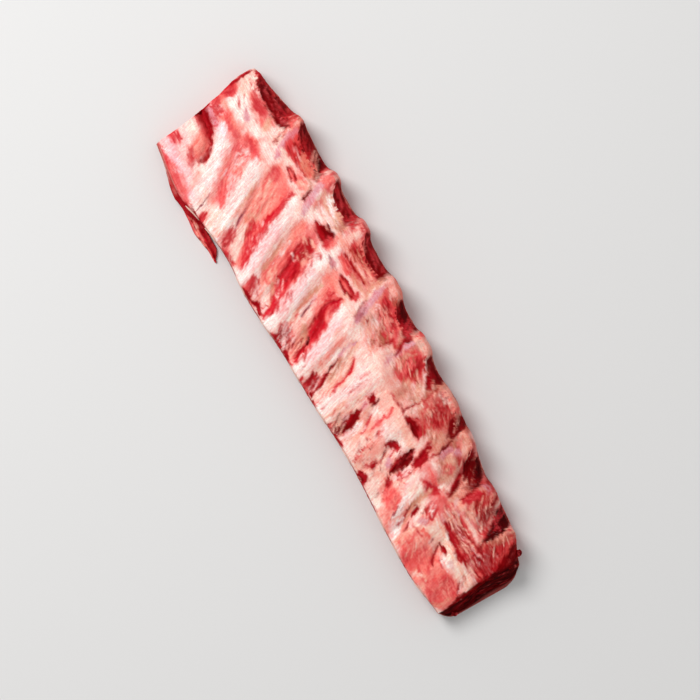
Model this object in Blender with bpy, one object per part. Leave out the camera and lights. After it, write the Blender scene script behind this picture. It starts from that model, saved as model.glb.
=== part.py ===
# A raw rack of pork back ribs, lying on its meat side with the bone side up.
# X runs along the rack from the wide end to the narrow end, Y from the sawn belly edge to the
# chine edge where the rib heads stand out, and Z up. The origin is on the ground, under the
# middle of the rack. Sizes are in millimetres and become metres where the points are made.
import bpy
import bmesh
import numpy as np
from math import cos, pi, radians, sin

MM = 0.001
GAP = 0.3                   # between a bone and the meat around it
MEAT_COLOUR = (0.62, 0.16, 0.15)
MEAT_ROUGHNESS = 0.35
BONE_COLOUR = (0.86, 0.70, 0.62)
BONE_ROUGHNESS = 0.5
SHARP_ANGLE = radians(50)

# Across the rack, the places where the lines of the ends and the ribs are given.
LINE_Y = (-50, -20, 5, 31, 50)
WIDE_END = (-189.5, -192.2, -196.7, -202.0, -200.5)
NARROW_END = (194, 190.8, 188.6, 190.5, 189)
RIB_LINES = (
    (-134, -154, -174, -187, -191),
    (-113, -125, -140, -146, -152),
    (-70, -88, -100, -104, -107),
    (-37, -48, -59, -64, -67),
    (1, -8, -15, -18, -21),
    (35, 29, 25, 22, 24),
    (67, 66, 63, 63, 66),
    (121, 112, 104, 100, 100),
    (142, 137, 131, 134, 136),
    (175, 169, 167, 170, 171),
)
RIDGE_HEIGHT = (2.4, 3.2, 3.4, 3.6, 3.4, 2.6, 2.4, 3.0, 2.6, 2.2)
GROOVE_DEPTH = (0.5, 1.0, 1.8, 2.2, 2.4, 0.4, 0.6, 1.5, 0.8, 0.3)
RIDGE_HALF = 9.0            # half the width of the swell over a rib
GROOVE_SIDE = 13.0          # the groove runs this far from the rib, on its wide end side
GROOVE_HALF = 4.5

# Plan of the slab: the two long edges at (x, y), and the knobs of the rib heads on the chine
# edge as (x, half width, how far they stand out).
CHINE_EDGE = ((-202, 40.5), (-175, 46), (-150, 51), (-125, 50.2), (-85, 51), (-45, 50.8),
              (0, 48.8), (45, 47), (85, 46.2), (110, 43), (125, 40.6), (150, 40),
              (165, 38.5), (180, 34.5), (191, 30))
BELLY_EDGE = ((-190, -45.2), (-160, -49.5), (-145, -50), (-130, -47), (-95, -43),
              (-65, -44.8), (-20, -42), (20, -41), (60, -38.8), (140, -41.3),
              (160, -41.5), (194, -37))
KNOBS = ((-197, 6, 0), (-154, 6, 1.0), (-107, 7, 3.3), (-67, 8, 3.4), (-20, 11, 3.0),
         (25, 11, 3.2), (67, 13, 0.9), (99, 9, 0.8), (137, 8, 0.5), (172, 7, 0.4))

# Thickness across the rack at (y, height), and how it changes along the rack at (x, factor).
THICKNESS = ((-50, 20.5), (-30, 21.5), (-5, 23), (12, 25.5), (26, 29), (38, 30.5), (55, 31))
ALONG = ((-202, 0.93), (-150, 1.0), (-20, 1.03), (120, 1.0), (202, 0.94))
RIDGE_FADE = ((-50, 1.0), (5, 1.0), (25, 0.5), (55, 0.6))
GROOVE_FADE = ((-44, 0.6), (-25, 1.0), (0, 1.0), (18, 0.0), (55, 0.0))
VALLEY_SAG = 1.2

# Hollows at (x, y, half length, half width, turn in degrees, depth); a mound has a minus depth.
RIB_KEEPS = 0.9             # the share of a hollow that the swell over a rib fills again
HOLLOWS = (
    (-186, -8.0, 12, 3.6, 0, 7.5),
    (-167, -17, 11, 3.2, -52, 3.0),
    (-178, -21, 15, 9, -20, -2.8),
    (90, -6, 10, 3.6, -70, 4.0),
    (77, -8, 6, 3.6, -60, 3.0),
    (156, -15, 7, 4.0, -55, 4.0),
    (119, 30, 14, 7, -68, 5.0),
    (157, 29, 15, 7, -72, 5.5),
    (-178, 40, 16, 4.5, 8, 3.0),
    (70, 14, 10, 3.5, 0, 2.0),
)

# The sides, from the top edge down, as (inset from the plan edge, share of the edge height).
CHINE_AT_KNOB = ((3.0, 1.0), (0.2, 0.86), (0.0, 0.42), (1.4, 0.1), (5.0, 0.0))
CHINE_BETWEEN = ((9.0, 1.0), (4.2, 0.78), (1.0, 0.42), (0.4, 0.14), (4.0, 0.0))
BELLY_SIDE = ((1.6, 1.0), (0.0, 0.82), (0.2, 0.5), (0.0, 0.32), (0.6, 0.1), (4.0, 0.0))
# How far the lower layer stands out past the belly edge, near the wide end, at (x, reach).
LEDGE_REACH = ((-190, 1.4), (-172, 1.6), (-155, 4.2), (-142, 3.6), (-134, 3.4), (-126, 0.0))
LEDGE_ROWS = (0, 0, 0, 1.0, 0.9, 0.9)      # the share of it that each row of the side takes

# The edges are found where a line between the ribs meets them: a first guess, then rounds.
BELLY_GUESS = -42.0
CHINE_GUESS = 48.0
EDGE_ROUNDS = 4

# How far the foot of an end face stands out past its top edge, at (y, reach).
NARROW_FOOT = ((-38, 1.5), (-33, 7.0), (-25, 10), (0, 11.2), (15, 10.8), (22, 8.5), (31, 1.5))
WIDE_FOOT = 0.2
END_STATIONS = 4            # stations over which the slope of an end face fades out

STATIONS_PER_GAP = 8
WIDE_END_STATIONS = 8
NARROW_END_STATIONS = 5
TOP_POINTS = 16
BOTTOM_POINTS = 5
CAP_LOOPS = (0.72, 0.4)

# A rib bone: half its width and height, from the belly cut to its head at the chine edge.
BONE_PLACES = (0.0, 0.12, 0.3, 0.5, 0.68, 0.82, 0.92, 1.0)
BONE_HALF_WIDTH = ((0.0, 6.6), (0.3, 6.2), (0.6, 5.4), (0.8, 5.0), (1.0, 6.4))
BONE_HALF_HEIGHT = ((0.0, 4.0), (0.3, 4.0), (0.7, 4.6), (1.0, 5.4))
BONE_COVER = 1.7            # meat and membrane over the bone
BONE_PROUD = 0.2            # the sawn ends stand out by this much
BONE_SIDES = 10
LEAN_REACH = 2.0            # a bone's lean is measured this far to both sides
LEVEL_FROM_BELLY = 3.0      # its height is level this far from the belly cut
LEVEL_TO_CHINE = 5.0
CUT_OVERRUN = 7.0
FIRST_HEAD_Y = 34.0         # the first rib's head stays under the meat at the wide end

# The ragged strip along the belly edge at (x, y, half width, height), from its root to its tip.
FLAP = ((-143, -50.0, 3.0, 6.0), (-133, -50.8, 2.6, 6.0), (-123, -51.4, 3.0, 5.5),
        (-114, -50.9, 2.2, 5.0), (-105, -50.4, 1.6, 3.6), (-97, -51.0, 0.6, 1.8))
FLAP_LIFT = 0.3
# Its section, as shares of the half width and the height.
FLAP_SECTION = ((-1, 0.06), (-0.6, 0), (0.6, 0), (1, 0.1), (0.9, 0.7), (0.4, 1), (-0.5, 0.95),
                (-0.95, 0.55))
# Small lumps at (x, y, z, radius).
LUMPS = ((184.8, 32.7, 11.0, 2.9), (199.6, -27.0, 3.4, 2.8))


def curve(points, at):
    # A smooth line through a few (place, value) points, level past its ends.
    place = np.array([p[0] for p in points], float)
    value = np.array([p[1] for p in points], float)
    slope = np.gradient(value, place)
    at = np.clip(at, place[0], place[-1])
    i = np.clip(np.searchsorted(place, at) - 1, 0, len(place) - 2)
    step = place[i + 1] - place[i]
    u = (at - place[i]) / step
    ends = value[i] * (1 + 2 * u) * (1 - u) ** 2 + value[i + 1] * u * u * (3 - 2 * u)
    return ends + step * (slope[i] * u * (1 - u) ** 2 - slope[i + 1] * u * u * (1 - u))


def swell(distance, half):
    return 1 / (1 + (distance / half) ** 4)


def line_x(line, y):
    return curve(tuple(zip(LINE_Y, line)), y)


def knob_share(x):
    return max(swell(x - knob_x, half) for knob_x, half, _ in KNOBS)


def chine_edge(x):
    return curve(CHINE_EDGE, x) + sum(out * swell(x - at, half) for at, half, out in KNOBS)


def belly_edge(x):
    return curve(BELLY_EDGE, x)


def top_height(x, y):
    # The bone side: the slab's thickness, a swell over each rib, the grooves and the hollows.
    height = curve(THICKNESS, y) * curve(ALONG, x) - VALLEY_SAG
    over_rib = 0
    for line, ridge, groove in zip(RIB_LINES, RIDGE_HEIGHT, GROOVE_DEPTH):
        away = x - line_x(line, y)
        over_rib = max(over_rib, swell(away, RIDGE_HALF))
        height += ridge * curve(RIDGE_FADE, y) * swell(away, RIDGE_HALF)
        height -= groove * curve(GROOVE_FADE, y) * swell(away + GROOVE_SIDE, GROOVE_HALF)
    for at_x, at_y, half_long, half_wide, turn, depth in HOLLOWS:
        c, s = cos(radians(turn)), sin(radians(turn))
        along = ((x - at_x) * c + (y - at_y) * s) / half_long
        across = ((y - at_y) * c - (x - at_x) * s) / half_wide
        share = 1 / (1 + (along ** 2 + across ** 2) ** 2)
        height -= depth * share * (1 - RIB_KEEPS * over_rib)
    return height


def station(start_line, end_line, share, wide_tilt, narrow_tilt):
    # One closed ring round the slab, on a line between two neighbouring ribs or ends.
    def x_at(y):
        return (1 - share) * line_x(start_line, y) + share * line_x(end_line, y)

    belly, chine = BELLY_GUESS, CHINE_GUESS
    for _ in range(EDGE_ROUNDS):
        belly = belly_edge(x_at(belly))
        chine = chine_edge(x_at(chine))
    knob = knob_share(x_at(chine))
    chine_side = [(knob * a[0] + (1 - knob) * b[0], knob * a[1] + (1 - knob) * b[1])
                  for a, b in zip(CHINE_AT_KNOB, CHINE_BETWEEN)]
    reach = curve(LEDGE_REACH, x_at(belly))

    top_from = belly + BELLY_SIDE[0][0]
    top_to = chine - chine_side[0][0]
    ring = []
    for y in np.linspace(top_from, top_to, TOP_POINTS):
        ring.append((x_at(y), y, top_height(x_at(y), y)))
    chine_height = ring[-1][2]
    belly_height = ring[0][2]
    for inset, share_up in chine_side[1:]:
        ring.append((x_at(chine), chine - inset, chine_height * share_up))
    bottom_from = ring[-1][1]
    belly_rows = [(belly + inset - reach * row, belly_height * up)
                  for (inset, up), row in zip(BELLY_SIDE, LEDGE_ROWS)][1:]
    bottom_to = belly_rows[-1][0]
    for y in np.linspace(bottom_from, bottom_to, BOTTOM_POINTS + 2)[1:-1]:
        ring.append((x_at(y), y, 0.0))
    for y, z in reversed(belly_rows):
        ring.append((x_at(belly), y, z))

    leant = []
    for x, y, z in ring:
        down = 1 - min(1, z / max(chine_height, belly_height))
        x += narrow_tilt * curve(NARROW_FOOT, y) * down - wide_tilt * WIDE_FOOT * down
        leant.append((x, y, z))
    return leant


def all_stations():
    lines = (WIDE_END,) + RIB_LINES + (NARROW_END,)
    counts = [WIDE_END_STATIONS] + [STATIONS_PER_GAP] * (len(RIB_LINES) - 1)
    counts.append(NARROW_END_STATIONS)
    places = []
    for start_line, end_line, count in zip(lines, lines[1:], counts):
        for step in range(count):
            places.append((start_line, end_line, step / count))
    places.append((lines[-2], lines[-1], 1.0))
    rings = []
    last = len(places) - 1
    for i, (start_line, end_line, share) in enumerate(places):
        wide_tilt = max(0, 1 - i / END_STATIONS)
        narrow_tilt = max(0, 1 - (last - i) / END_STATIONS)
        rings.append(station(start_line, end_line, share, wide_tilt, narrow_tilt))
    return rings


def bridge(mesh, first, second):
    for i in range(len(first)):
        j = (i + 1) % len(first)
        mesh.faces.new((first[i], first[j], second[j], second[i]))


def narrow_face(y, z):
    # The dark cut face at the narrow end leans out to its foot.
    down = 1 - min(1, z / top_height(line_x(NARROW_END, y), y))
    return line_x(NARROW_END, y) + curve(NARROW_FOOT, y) * down


def wide_face(y, _):
    return line_x(WIDE_END, y) - WIDE_FOOT


def cap(mesh, ring, face_x):
    # Closes an end of a lofted body: with a middle point, or on a face that is not flat with
    # loops that shrink towards it.
    middle = sum((v.co for v in ring), ring[0].co * 0) / len(ring)
    outer = ring
    for shrink in CAP_LOOPS if face_x else ():
        inner = [mesh.verts.new(middle + (v.co - middle) * shrink) for v in ring]
        for v in inner:
            v.co.x = face_x(v.co.y / MM, v.co.z / MM) * MM
        bridge(mesh, outer, inner)
        outer = inner
    tip = mesh.verts.new(middle)
    if face_x:
        tip.co.x = face_x(middle.y / MM, middle.z / MM) * MM
    for i in range(len(outer)):
        mesh.faces.new((outer[i], outer[(i + 1) % len(outer)], tip))


def loft(name, rings, material, first_face=None, last_face=None):
    # A closed body through rings of the same number of points.
    mesh = bmesh.new()
    loops = [[mesh.verts.new([c * MM for c in point]) for point in ring] for ring in rings]
    for first, second in zip(loops, loops[1:]):
        bridge(mesh, first, second)
    cap(mesh, loops[0], first_face)
    cap(mesh, loops[-1], last_face)
    bmesh.ops.recalc_face_normals(mesh, faces=mesh.faces)
    bmesh.ops.triangulate(mesh, faces=mesh.faces)
    data = bpy.data.meshes.new(name)
    mesh.to_mesh(data)
    mesh.free()
    data.materials.append(material)
    piece = bpy.data.objects.new(name, data)
    bpy.context.scene.collection.objects.link(piece)
    return piece


def bone_lean(line, y):
    return (line_x(line, y + LEAN_REACH) - line_x(line, y - LEAN_REACH)) / (2 * LEAN_REACH)


def sawn_end(ring, line, end_y, edge, proud):
    # Slides the last points of a bone along it until they lie on the edge of the slab.
    lean = bone_lean(line, end_y)
    slid = []
    for x, y, z in ring:
        at_x, at_y = x, y
        for _ in range(EDGE_ROUNDS):
            at_y = edge(at_x) + proud
            at_x = x + lean * (at_y - y)
        slid.append((at_x, at_y, z))
    return slid


def bone_rings(line, grow, overrun):
    # Oval sections of a rib bone, each upright and square to Y, from the belly to the head.
    def on_line(edge, y):
        for _ in range(EDGE_ROUNDS):
            y = edge(line_x(line, y))
        return y

    head_shows = line is not RIB_LINES[0]
    start = on_line(belly_edge, BELLY_GUESS) - BONE_PROUD
    stop = on_line(chine_edge, CHINE_GUESS) + BONE_PROUD if head_shows else FIRST_HEAD_Y
    places = [start + (stop - start) * share for share in BONE_PLACES]
    shares = list(BONE_PLACES)
    if overrun:
        places = [start - overrun] + places + [stop + (overrun if head_shows else grow)]
        shares = [0.0] + shares + [1.0]
    rings = []
    for y, share in zip(places, shares):
        held_y = min(max(y, start), stop)
        lean = bone_lean(line, held_y)
        x = line_x(line, held_y) + lean * (y - held_y)
        half_wide = (curve(BONE_HALF_WIDTH, share) + grow) * (1 + lean * lean) ** 0.5
        half_high = curve(BONE_HALF_HEIGHT, share) + grow
        centre_y = min(max(held_y, start + LEVEL_FROM_BELLY), stop - LEVEL_TO_CHINE)
        z = top_height(line_x(line, centre_y), centre_y) - BONE_COVER
        z -= curve(BONE_HALF_HEIGHT, share)
        ring = []
        for side in range(BONE_SIDES):
            angle = 2 * pi * (side + 0.5) / BONE_SIDES
            ring.append((x + half_wide * cos(angle), y, z + half_high * sin(angle)))
        rings.append(ring)
    if not overrun:
        rings[0] = sawn_end(rings[0], line, start, belly_edge, -BONE_PROUD)
        if head_shows:
            rings[-1] = sawn_end(rings[-1], line, stop, chine_edge, BONE_PROUD)
    return rings


def flap_rings():
    rings = []
    for x, y, half, height in FLAP:
        rings.append([(x, y + half * side, FLAP_LIFT + height * up)
                      for side, up in FLAP_SECTION])
    return rings


def lump(name, x, y, z, radius, material):
    mesh = bmesh.new()
    bmesh.ops.create_icosphere(mesh, subdivisions=1, radius=radius * MM)
    data = bpy.data.meshes.new(name)
    mesh.to_mesh(data)
    mesh.free()
    data.materials.append(material)
    piece = bpy.data.objects.new(name, data)
    piece.location = (x * MM, y * MM, z * MM)
    bpy.context.scene.collection.objects.link(piece)
    return piece


def combine(piece, others, operation):
    # Joins the others to the piece, or cuts them from it, and removes them.
    group = bpy.data.collections.new("tools")
    bpy.context.scene.collection.children.link(group)
    for other in others:
        group.objects.link(other)
    modifier = piece.modifiers.new("combine", "BOOLEAN")
    modifier.operation = operation
    modifier.solver = "EXACT"
    modifier.operand_type = "COLLECTION"
    modifier.collection = group
    depsgraph = bpy.context.evaluated_depsgraph_get()
    depsgraph.update()
    result = bpy.data.meshes.new_from_object(piece.evaluated_get(depsgraph))
    piece.modifiers.clear()
    piece.data = result
    for other in others:
        bpy.data.objects.remove(other, do_unlink=True)
    bpy.data.collections.remove(group)


def substance(name, colour, roughness):
    material = bpy.data.materials.new(name)
    material.use_nodes = True
    shader = material.node_tree.nodes["Principled BSDF"]
    shader.inputs["Base Color"].default_value = (*colour, 1)
    shader.inputs["Roughness"].default_value = roughness
    shader.inputs["Metallic"].default_value = 0
    material.diffuse_color = (*colour, 1)
    return material


def shade(piece):
    piece.data.shade_smooth()
    piece.data.set_sharp_from_angle(angle=SHARP_ANGLE)


def build():
    for old in list(bpy.data.objects):
        bpy.data.objects.remove(old, do_unlink=True)
    meat = substance("raw_meat", MEAT_COLOUR, MEAT_ROUGHNESS)
    bone = substance("rib_bone", BONE_COLOUR, BONE_ROUGHNESS)

    slab = loft("meat_slab", all_stations(), meat, wide_face, narrow_face)
    extras = [loft("flap", flap_rings(), meat)]
    extras += [lump(f"lump_{i}", *place, meat) for i, place in enumerate(LUMPS)]
    combine(slab, extras, "UNION")
    tunnels = [loft(f"tunnel_{i}", bone_rings(line, GAP, CUT_OVERRUN), meat)
               for i, line in enumerate(RIB_LINES)]
    combine(slab, tunnels, "DIFFERENCE")
    shade(slab)

    for i, line in enumerate(RIB_LINES):
        shade(loft(f"rib_bone_{i + 1:02d}", bone_rings(line, 0.0, 0.0), bone))


build()
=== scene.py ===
# Looks of a raw rack of pork back ribs that lies on its meat side with the bone side up.
# X runs along the rack from the wide end to the narrow end, Y from the sawn belly edge to the
# chine edge with the rib heads, Z up. Places and sizes are in millimetres up to the moment
# that a mesh is made. All colours are painted on the skin by strokes.
import bpy
import numpy as np
from math import cos, pi, radians, sin
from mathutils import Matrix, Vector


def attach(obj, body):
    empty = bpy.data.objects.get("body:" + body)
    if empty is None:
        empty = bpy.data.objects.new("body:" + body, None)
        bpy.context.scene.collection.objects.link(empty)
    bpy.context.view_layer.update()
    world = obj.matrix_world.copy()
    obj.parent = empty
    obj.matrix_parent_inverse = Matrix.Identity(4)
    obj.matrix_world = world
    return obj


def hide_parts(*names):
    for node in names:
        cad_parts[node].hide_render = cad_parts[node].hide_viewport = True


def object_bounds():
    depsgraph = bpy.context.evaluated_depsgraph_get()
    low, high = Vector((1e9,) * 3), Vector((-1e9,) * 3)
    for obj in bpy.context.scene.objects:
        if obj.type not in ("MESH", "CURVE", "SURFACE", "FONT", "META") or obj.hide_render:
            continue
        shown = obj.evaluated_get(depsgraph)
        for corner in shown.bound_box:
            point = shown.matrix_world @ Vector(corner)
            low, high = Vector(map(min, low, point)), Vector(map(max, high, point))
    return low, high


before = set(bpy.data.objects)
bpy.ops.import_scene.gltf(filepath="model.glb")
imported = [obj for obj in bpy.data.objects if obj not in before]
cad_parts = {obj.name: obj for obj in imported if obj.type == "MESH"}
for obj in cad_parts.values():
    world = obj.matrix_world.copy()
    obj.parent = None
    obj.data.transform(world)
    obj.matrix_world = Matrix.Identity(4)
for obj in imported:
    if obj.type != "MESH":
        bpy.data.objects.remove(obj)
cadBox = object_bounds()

mm = 0.001
dice = np.random.default_rng(41)


def toLinear(hexColour):
    # An sRGB hex value as linear red, green and blue.
    parts = np.array([int(hexColour[i:i + 2], 16) for i in (0, 2, 4)]) / 255
    return np.where(parts <= 0.04045, parts / 12.92, ((parts + 0.055) / 1.055) ** 2.4)


# The form of the rack, from the same driving sizes as its solids.
rack = {
    "lineY": (-50, -20, 5, 31, 50),
    "wideEnd": (-189.5, -192.2, -196.7, -202.0, -200.5),
    "narrowEnd": (194, 190.8, 188.6, 190.5, 189),
    "ribLines": (
        (-134, -154, -174, -187, -191), (-113, -125, -140, -146, -152),
        (-70, -88, -100, -104, -107), (-37, -48, -59, -64, -67), (1, -8, -15, -18, -21),
        (35, 29, 25, 22, 24), (67, 66, 63, 63, 66), (121, 112, 104, 100, 100),
        (142, 137, 131, 134, 136), (175, 169, 167, 170, 171)),
    "ridgeHeight": (2.4, 3.2, 3.4, 3.6, 3.4, 2.6, 2.4, 3.0, 2.6, 2.2),
    "grooveDepth": (0.5, 1.0, 1.8, 2.2, 2.4, 0.4, 0.6, 1.5, 0.8, 0.3),
    "ridgeHalf": 9.0,
    "grooveSide": 13.0,
    "grooveHalf": 4.5,
    "chineEdge": (
        (-202, 40.5), (-175, 46), (-150, 51), (-125, 50.2), (-85, 51), (-45, 50.8), (0, 48.8),
        (45, 47), (85, 46.2), (110, 43), (125, 40.6), (150, 40), (165, 38.5), (180, 34.5),
        (191, 30)),
    "bellyEdge": (
        (-190, -45.2), (-160, -49.5), (-145, -50), (-130, -47), (-95, -43), (-65, -44.8),
        (-20, -42), (20, -41), (60, -38.8), (140, -41.3), (160, -41.5), (194, -37)),
    "knobs": (
        (-197, 6, 0), (-154, 6, 1.0), (-107, 7, 3.3), (-67, 8, 3.4), (-20, 11, 3.0),
        (25, 11, 3.2), (67, 13, 0.9), (99, 9, 0.8), (137, 8, 0.5), (172, 7, 0.4)),
    "thickness": (
        (-50, 20.5), (-30, 21.5), (-5, 23), (12, 25.5), (26, 29), (38, 30.5), (55, 31)),
    "along": ((-202, 0.93), (-150, 1.0), (-20, 1.03), (120, 1.0), (202, 0.94)),
    "ridgeFade": ((-50, 1.0), (5, 1.0), (25, 0.5), (55, 0.6)),
    "grooveFade": ((-44, 0.6), (-25, 1.0), (0, 1.0), (18, 0.0), (55, 0.0)),
    "valleySag": 1.2,
    "ribKeeps": 0.9,
    # Hollows at (x, y, half length, half width, turn, depth); a mound has a minus depth.
    "hollows": (
        (-186, -8.0, 12, 3.6, 0, 7.5), (-167, -17, 11, 3.2, -52, 3.0),
        (-178, -21, 15, 9, -20, -2.8), (90, -6, 10, 3.6, -70, 4.0),
        (77, -8, 6, 3.6, -60, 3.0), (156, -15, 7, 4.0, -55, 4.0), (119, 30, 14, 7, -68, 5.0),
        (157, 29, 15, 7, -72, 5.5), (-178, 40, 16, 4.5, 8, 3.0), (70, 14, 10, 3.5, 0, 2.0)),
    # The sides from the top edge down, as (inset, share of the edge height).
    "chineAtKnob": ((3.0, 1.0), (0.2, 0.86), (0.0, 0.42), (1.4, 0.1), (5.0, 0.0)),
    "chineBetween": ((9.0, 1.0), (4.2, 0.78), (1.0, 0.42), (0.4, 0.14), (4.0, 0.0)),
    "bellySide": ((1.6, 1.0), (0.0, 0.82), (0.2, 0.5), (0.0, 0.32), (0.6, 0.1), (4.0, 0.0)),
    "ledgeReach": (
        (-190, 1.4), (-172, 1.6), (-155, 4.2), (-142, 3.6), (-134, 3.4), (-126, 0.0)),
    "ledgeRows": (0, 0, 0, 1.0, 0.9, 0.9),
    "narrowFoot": (
        (-38, 1.5), (-33, 7.0), (-25, 10), (0, 11.2), (15, 10.8), (22, 8.5), (31, 1.5)),
    "wideFoot": 0.2,
    "wideTiltSpan": 0.5,
    "narrowTiltSpan": 0.8,
    "bellyGuess": -42.0,
    "chineGuess": 48.0,
    "edgeRounds": 4,
}

# How finely the skin is made: points round the rack and the step between its rings.
skinGrid = {
    "top": 122, "chine": 22, "bottom": 28, "belly": 16,
    "ringStep": 0.83, "capLoops": 13, "capHeight": 13.0, "sideSmooth": 3,
    "endRound": 1.3, "endRoundReach": 1.8,
}


def curve(points, at):
    # A smooth line through a few (place, value) points, level past its ends.
    place = np.array([p[0] for p in points], float)
    value = np.array([p[1] for p in points], float)
    slope = np.gradient(value, place)
    at = np.clip(at, place[0], place[-1])
    i = np.clip(np.searchsorted(place, at) - 1, 0, len(place) - 2)
    step = place[i + 1] - place[i]
    u = (at - place[i]) / step
    ends = value[i] * (1 + 2 * u) * (1 - u) ** 2 + value[i + 1] * u * u * (3 - 2 * u)
    return ends + step * (slope[i] * u * (1 - u) ** 2 - slope[i + 1] * u * u * (1 - u))


def swell(distance, half):
    return 1 / (1 + (distance / half) ** 4)


def alongAcross(u, v, degrees):
    # Places read along and across a direction.
    c, s = cos(radians(degrees)), sin(radians(degrees))
    return u * c + v * s, v * c - u * s


def lineX(line, y):
    return curve(tuple(zip(rack["lineY"], line)), y)


def chineEdge(x):
    return curve(rack["chineEdge"], x) + sum(
        out * swell(x - at, half) for at, half, out in rack["knobs"])


def bellyEdge(x):
    return curve(rack["bellyEdge"], x)


def topHeight(x, y):
    # The bone side: the thickness, a swell over each rib, the grooves and the hollows.
    height = curve(rack["thickness"], y) * curve(rack["along"], x) - rack["valleySag"]
    overRib = 0
    for line, ridge, groove in zip(rack["ribLines"], rack["ridgeHeight"], rack["grooveDepth"]):
        away = x - lineX(line, y)
        overRib = np.maximum(overRib, swell(away, rack["ridgeHalf"]))
        height += ridge * curve(rack["ridgeFade"], y) * swell(away, rack["ridgeHalf"])
        height -= groove * curve(rack["grooveFade"], y) * swell(
            away + rack["grooveSide"], rack["grooveHalf"])
    for atX, atY, halfLong, halfWide, turn, depth in rack["hollows"]:
        along, across = alongAcross(x - atX, y - atY, turn)
        share = 1 / (1 + ((along / halfLong) ** 2 + (across / halfWide) ** 2) ** 2)
        height -= depth * share * (1 - rack["ribKeeps"] * overRib)
    return height


def narrowFace(y, z):
    down = 1 - np.minimum(1, z / topHeight(lineX(rack["narrowEnd"], y), y))
    return lineX(rack["narrowEnd"], y) + curve(rack["narrowFoot"], y) * down


def wideFace(y, _):
    return lineX(rack["wideEnd"], y) - rack["wideFoot"]


def evenly(line, count):
    # A broken line of (y, z) points, read at evenly spaced places.
    line = np.array(line)
    gone = np.concatenate([[0], np.cumsum(np.hypot(*np.diff(line, axis=0).T))])
    at = np.linspace(0, gone[-1], count)
    return np.stack([np.interp(at, gone, line[:, 0]), np.interp(at, gone, line[:, 1])], 1)


def ringsBetween(startLine, endLine, shares, wideTilt, narrowTilt):
    # Closed rings round the slab on lines between two neighbouring ribs or ends.
    def xAt(y):
        share = shares.reshape((-1,) + (1,) * (np.ndim(y) - 1))
        return (1 - share) * lineX(startLine, y) + share * lineX(endLine, y)

    belly = np.full(len(shares), rack["bellyGuess"])
    chine = np.full(len(shares), rack["chineGuess"])
    for _ in range(rack["edgeRounds"]):
        belly = bellyEdge(xAt(belly))
        chine = chineEdge(xAt(chine))
    knob = np.max([swell(xAt(chine) - at, half) for at, half, _ in rack["knobs"]], axis=0)
    reach = curve(rack["ledgeReach"], xAt(belly))
    blend = [(knob * a[0] + (1 - knob) * b[0], knob * a[1] + (1 - knob) * b[1])
             for a, b in zip(rack["chineAtKnob"], rack["chineBetween"])]
    topFrom = belly + rack["bellySide"][0][0]
    topTo = chine - blend[0][0]
    places = np.linspace(0, 1, skinGrid["top"])
    yTop = topFrom[:, None] + (topTo - topFrom)[:, None] * places
    xTop = xAt(yTop)
    zTop = topHeight(xTop, yTop)
    xBelly = xAt(belly)
    xChine = xAt(chine)
    rings = []
    for i in range(len(shares)):
        chineLine = [(chine[i] - inset[i], zTop[i, -1] * up[i]) for inset, up in blend]
        bellyLine = [(belly[i] + inset - reach[i] * row, zTop[i, 0] * up)
                     for (inset, up), row in zip(rack["bellySide"], rack["ledgeRows"])]
        chineSide = evenly(chineLine, skinGrid["chine"] + 1)[1:]
        bellySide = evenly(bellyLine[::-1], skinGrid["belly"] + 1)[:-1]
        under = np.linspace(chineSide[-1], bellySide[0], skinGrid["bottom"] + 2)[1:-1]
        yz = np.concatenate([np.stack([yTop[i], zTop[i]], 1), chineSide, under, bellySide])
        x = np.concatenate([
            xTop[i], np.full(len(chineSide), xChine[i]),
            np.linspace(xChine[i], xBelly[i], skinGrid["bottom"] + 2)[1:-1],
            np.full(len(bellySide), xBelly[i])])
        down = 1 - np.minimum(1, yz[:, 1] / max(zTop[i, -1], zTop[i, 0]))
        x += narrowTilt[i] * curve(rack["narrowFoot"], yz[:, 0]) * down
        x -= wideTilt[i] * rack["wideFoot"] * down
        rings.append(np.column_stack([x, yz]))
    return np.array(rings)


def skinRings():
    # All rings of the slab's skin, with the place of each along the rack in millimetres.
    lines = (rack["wideEnd"],) + rack["ribLines"] + (rack["narrowEnd"],)
    rings, gone, start = [], [], 0.0
    for i, (first, second) in enumerate(zip(lines, lines[1:])):
        gap = np.mean(np.array(second) - np.array(first))
        count = int(round(gap / skinGrid["ringStep"]))
        last = i == len(lines) - 2
        shares = np.linspace(0, 1, count + 1)[:None if last else -1]
        wideTilt = np.clip(1 - shares / rack["wideTiltSpan"], 0, 1) * (i == 0)
        narrowTilt = np.clip(1 - (1 - shares) / rack["narrowTiltSpan"], 0, 1) * last
        rings.append(ringsBetween(first, second, shares, wideTilt, narrowTilt))
        gone.append(start + shares * gap)
        start += gap
    rings = np.concatenate(rings)
    side = np.r_[skinGrid["top"]:rings.shape[1]]
    for _ in range(skinGrid["sideSmooth"]):
        mean = (np.roll(rings, 1, 1) + 2 * rings + np.roll(rings, -1, 1)) / 4
        rings[:, side, 1:] = mean[:, side, 1:]
    return rings, np.concatenate(gone)


def capRings(ring, face):
    # Loops that shrink from an end ring to a point, on the end face.
    middle = np.array([ring[:, 0].mean(), (ring[:, 1].min() + ring[:, 1].max()) / 2,
                       skinGrid["capHeight"]])
    loops = []
    for share in np.arange(skinGrid["capLoops"], 0, -1) / (skinGrid["capLoops"] + 1):
        loop = middle + (ring - middle) * share
        loop[:, 0] = face(loop[:, 1], loop[:, 2])
        loops.append(loop)
    middle[0] = face(middle[1], middle[2])
    return np.array(loops), middle


# Noise: smooth random values on a lattice, so that each run gives the same ones.
def hashed(i, j, k):
    n = i * 73856093 ^ j * 19349663 ^ k * 83492791
    n = (n ^ (n >> 13)) * 1274126177
    return ((n ^ (n >> 16)) & 65535) / 32767.5 - 1


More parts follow.
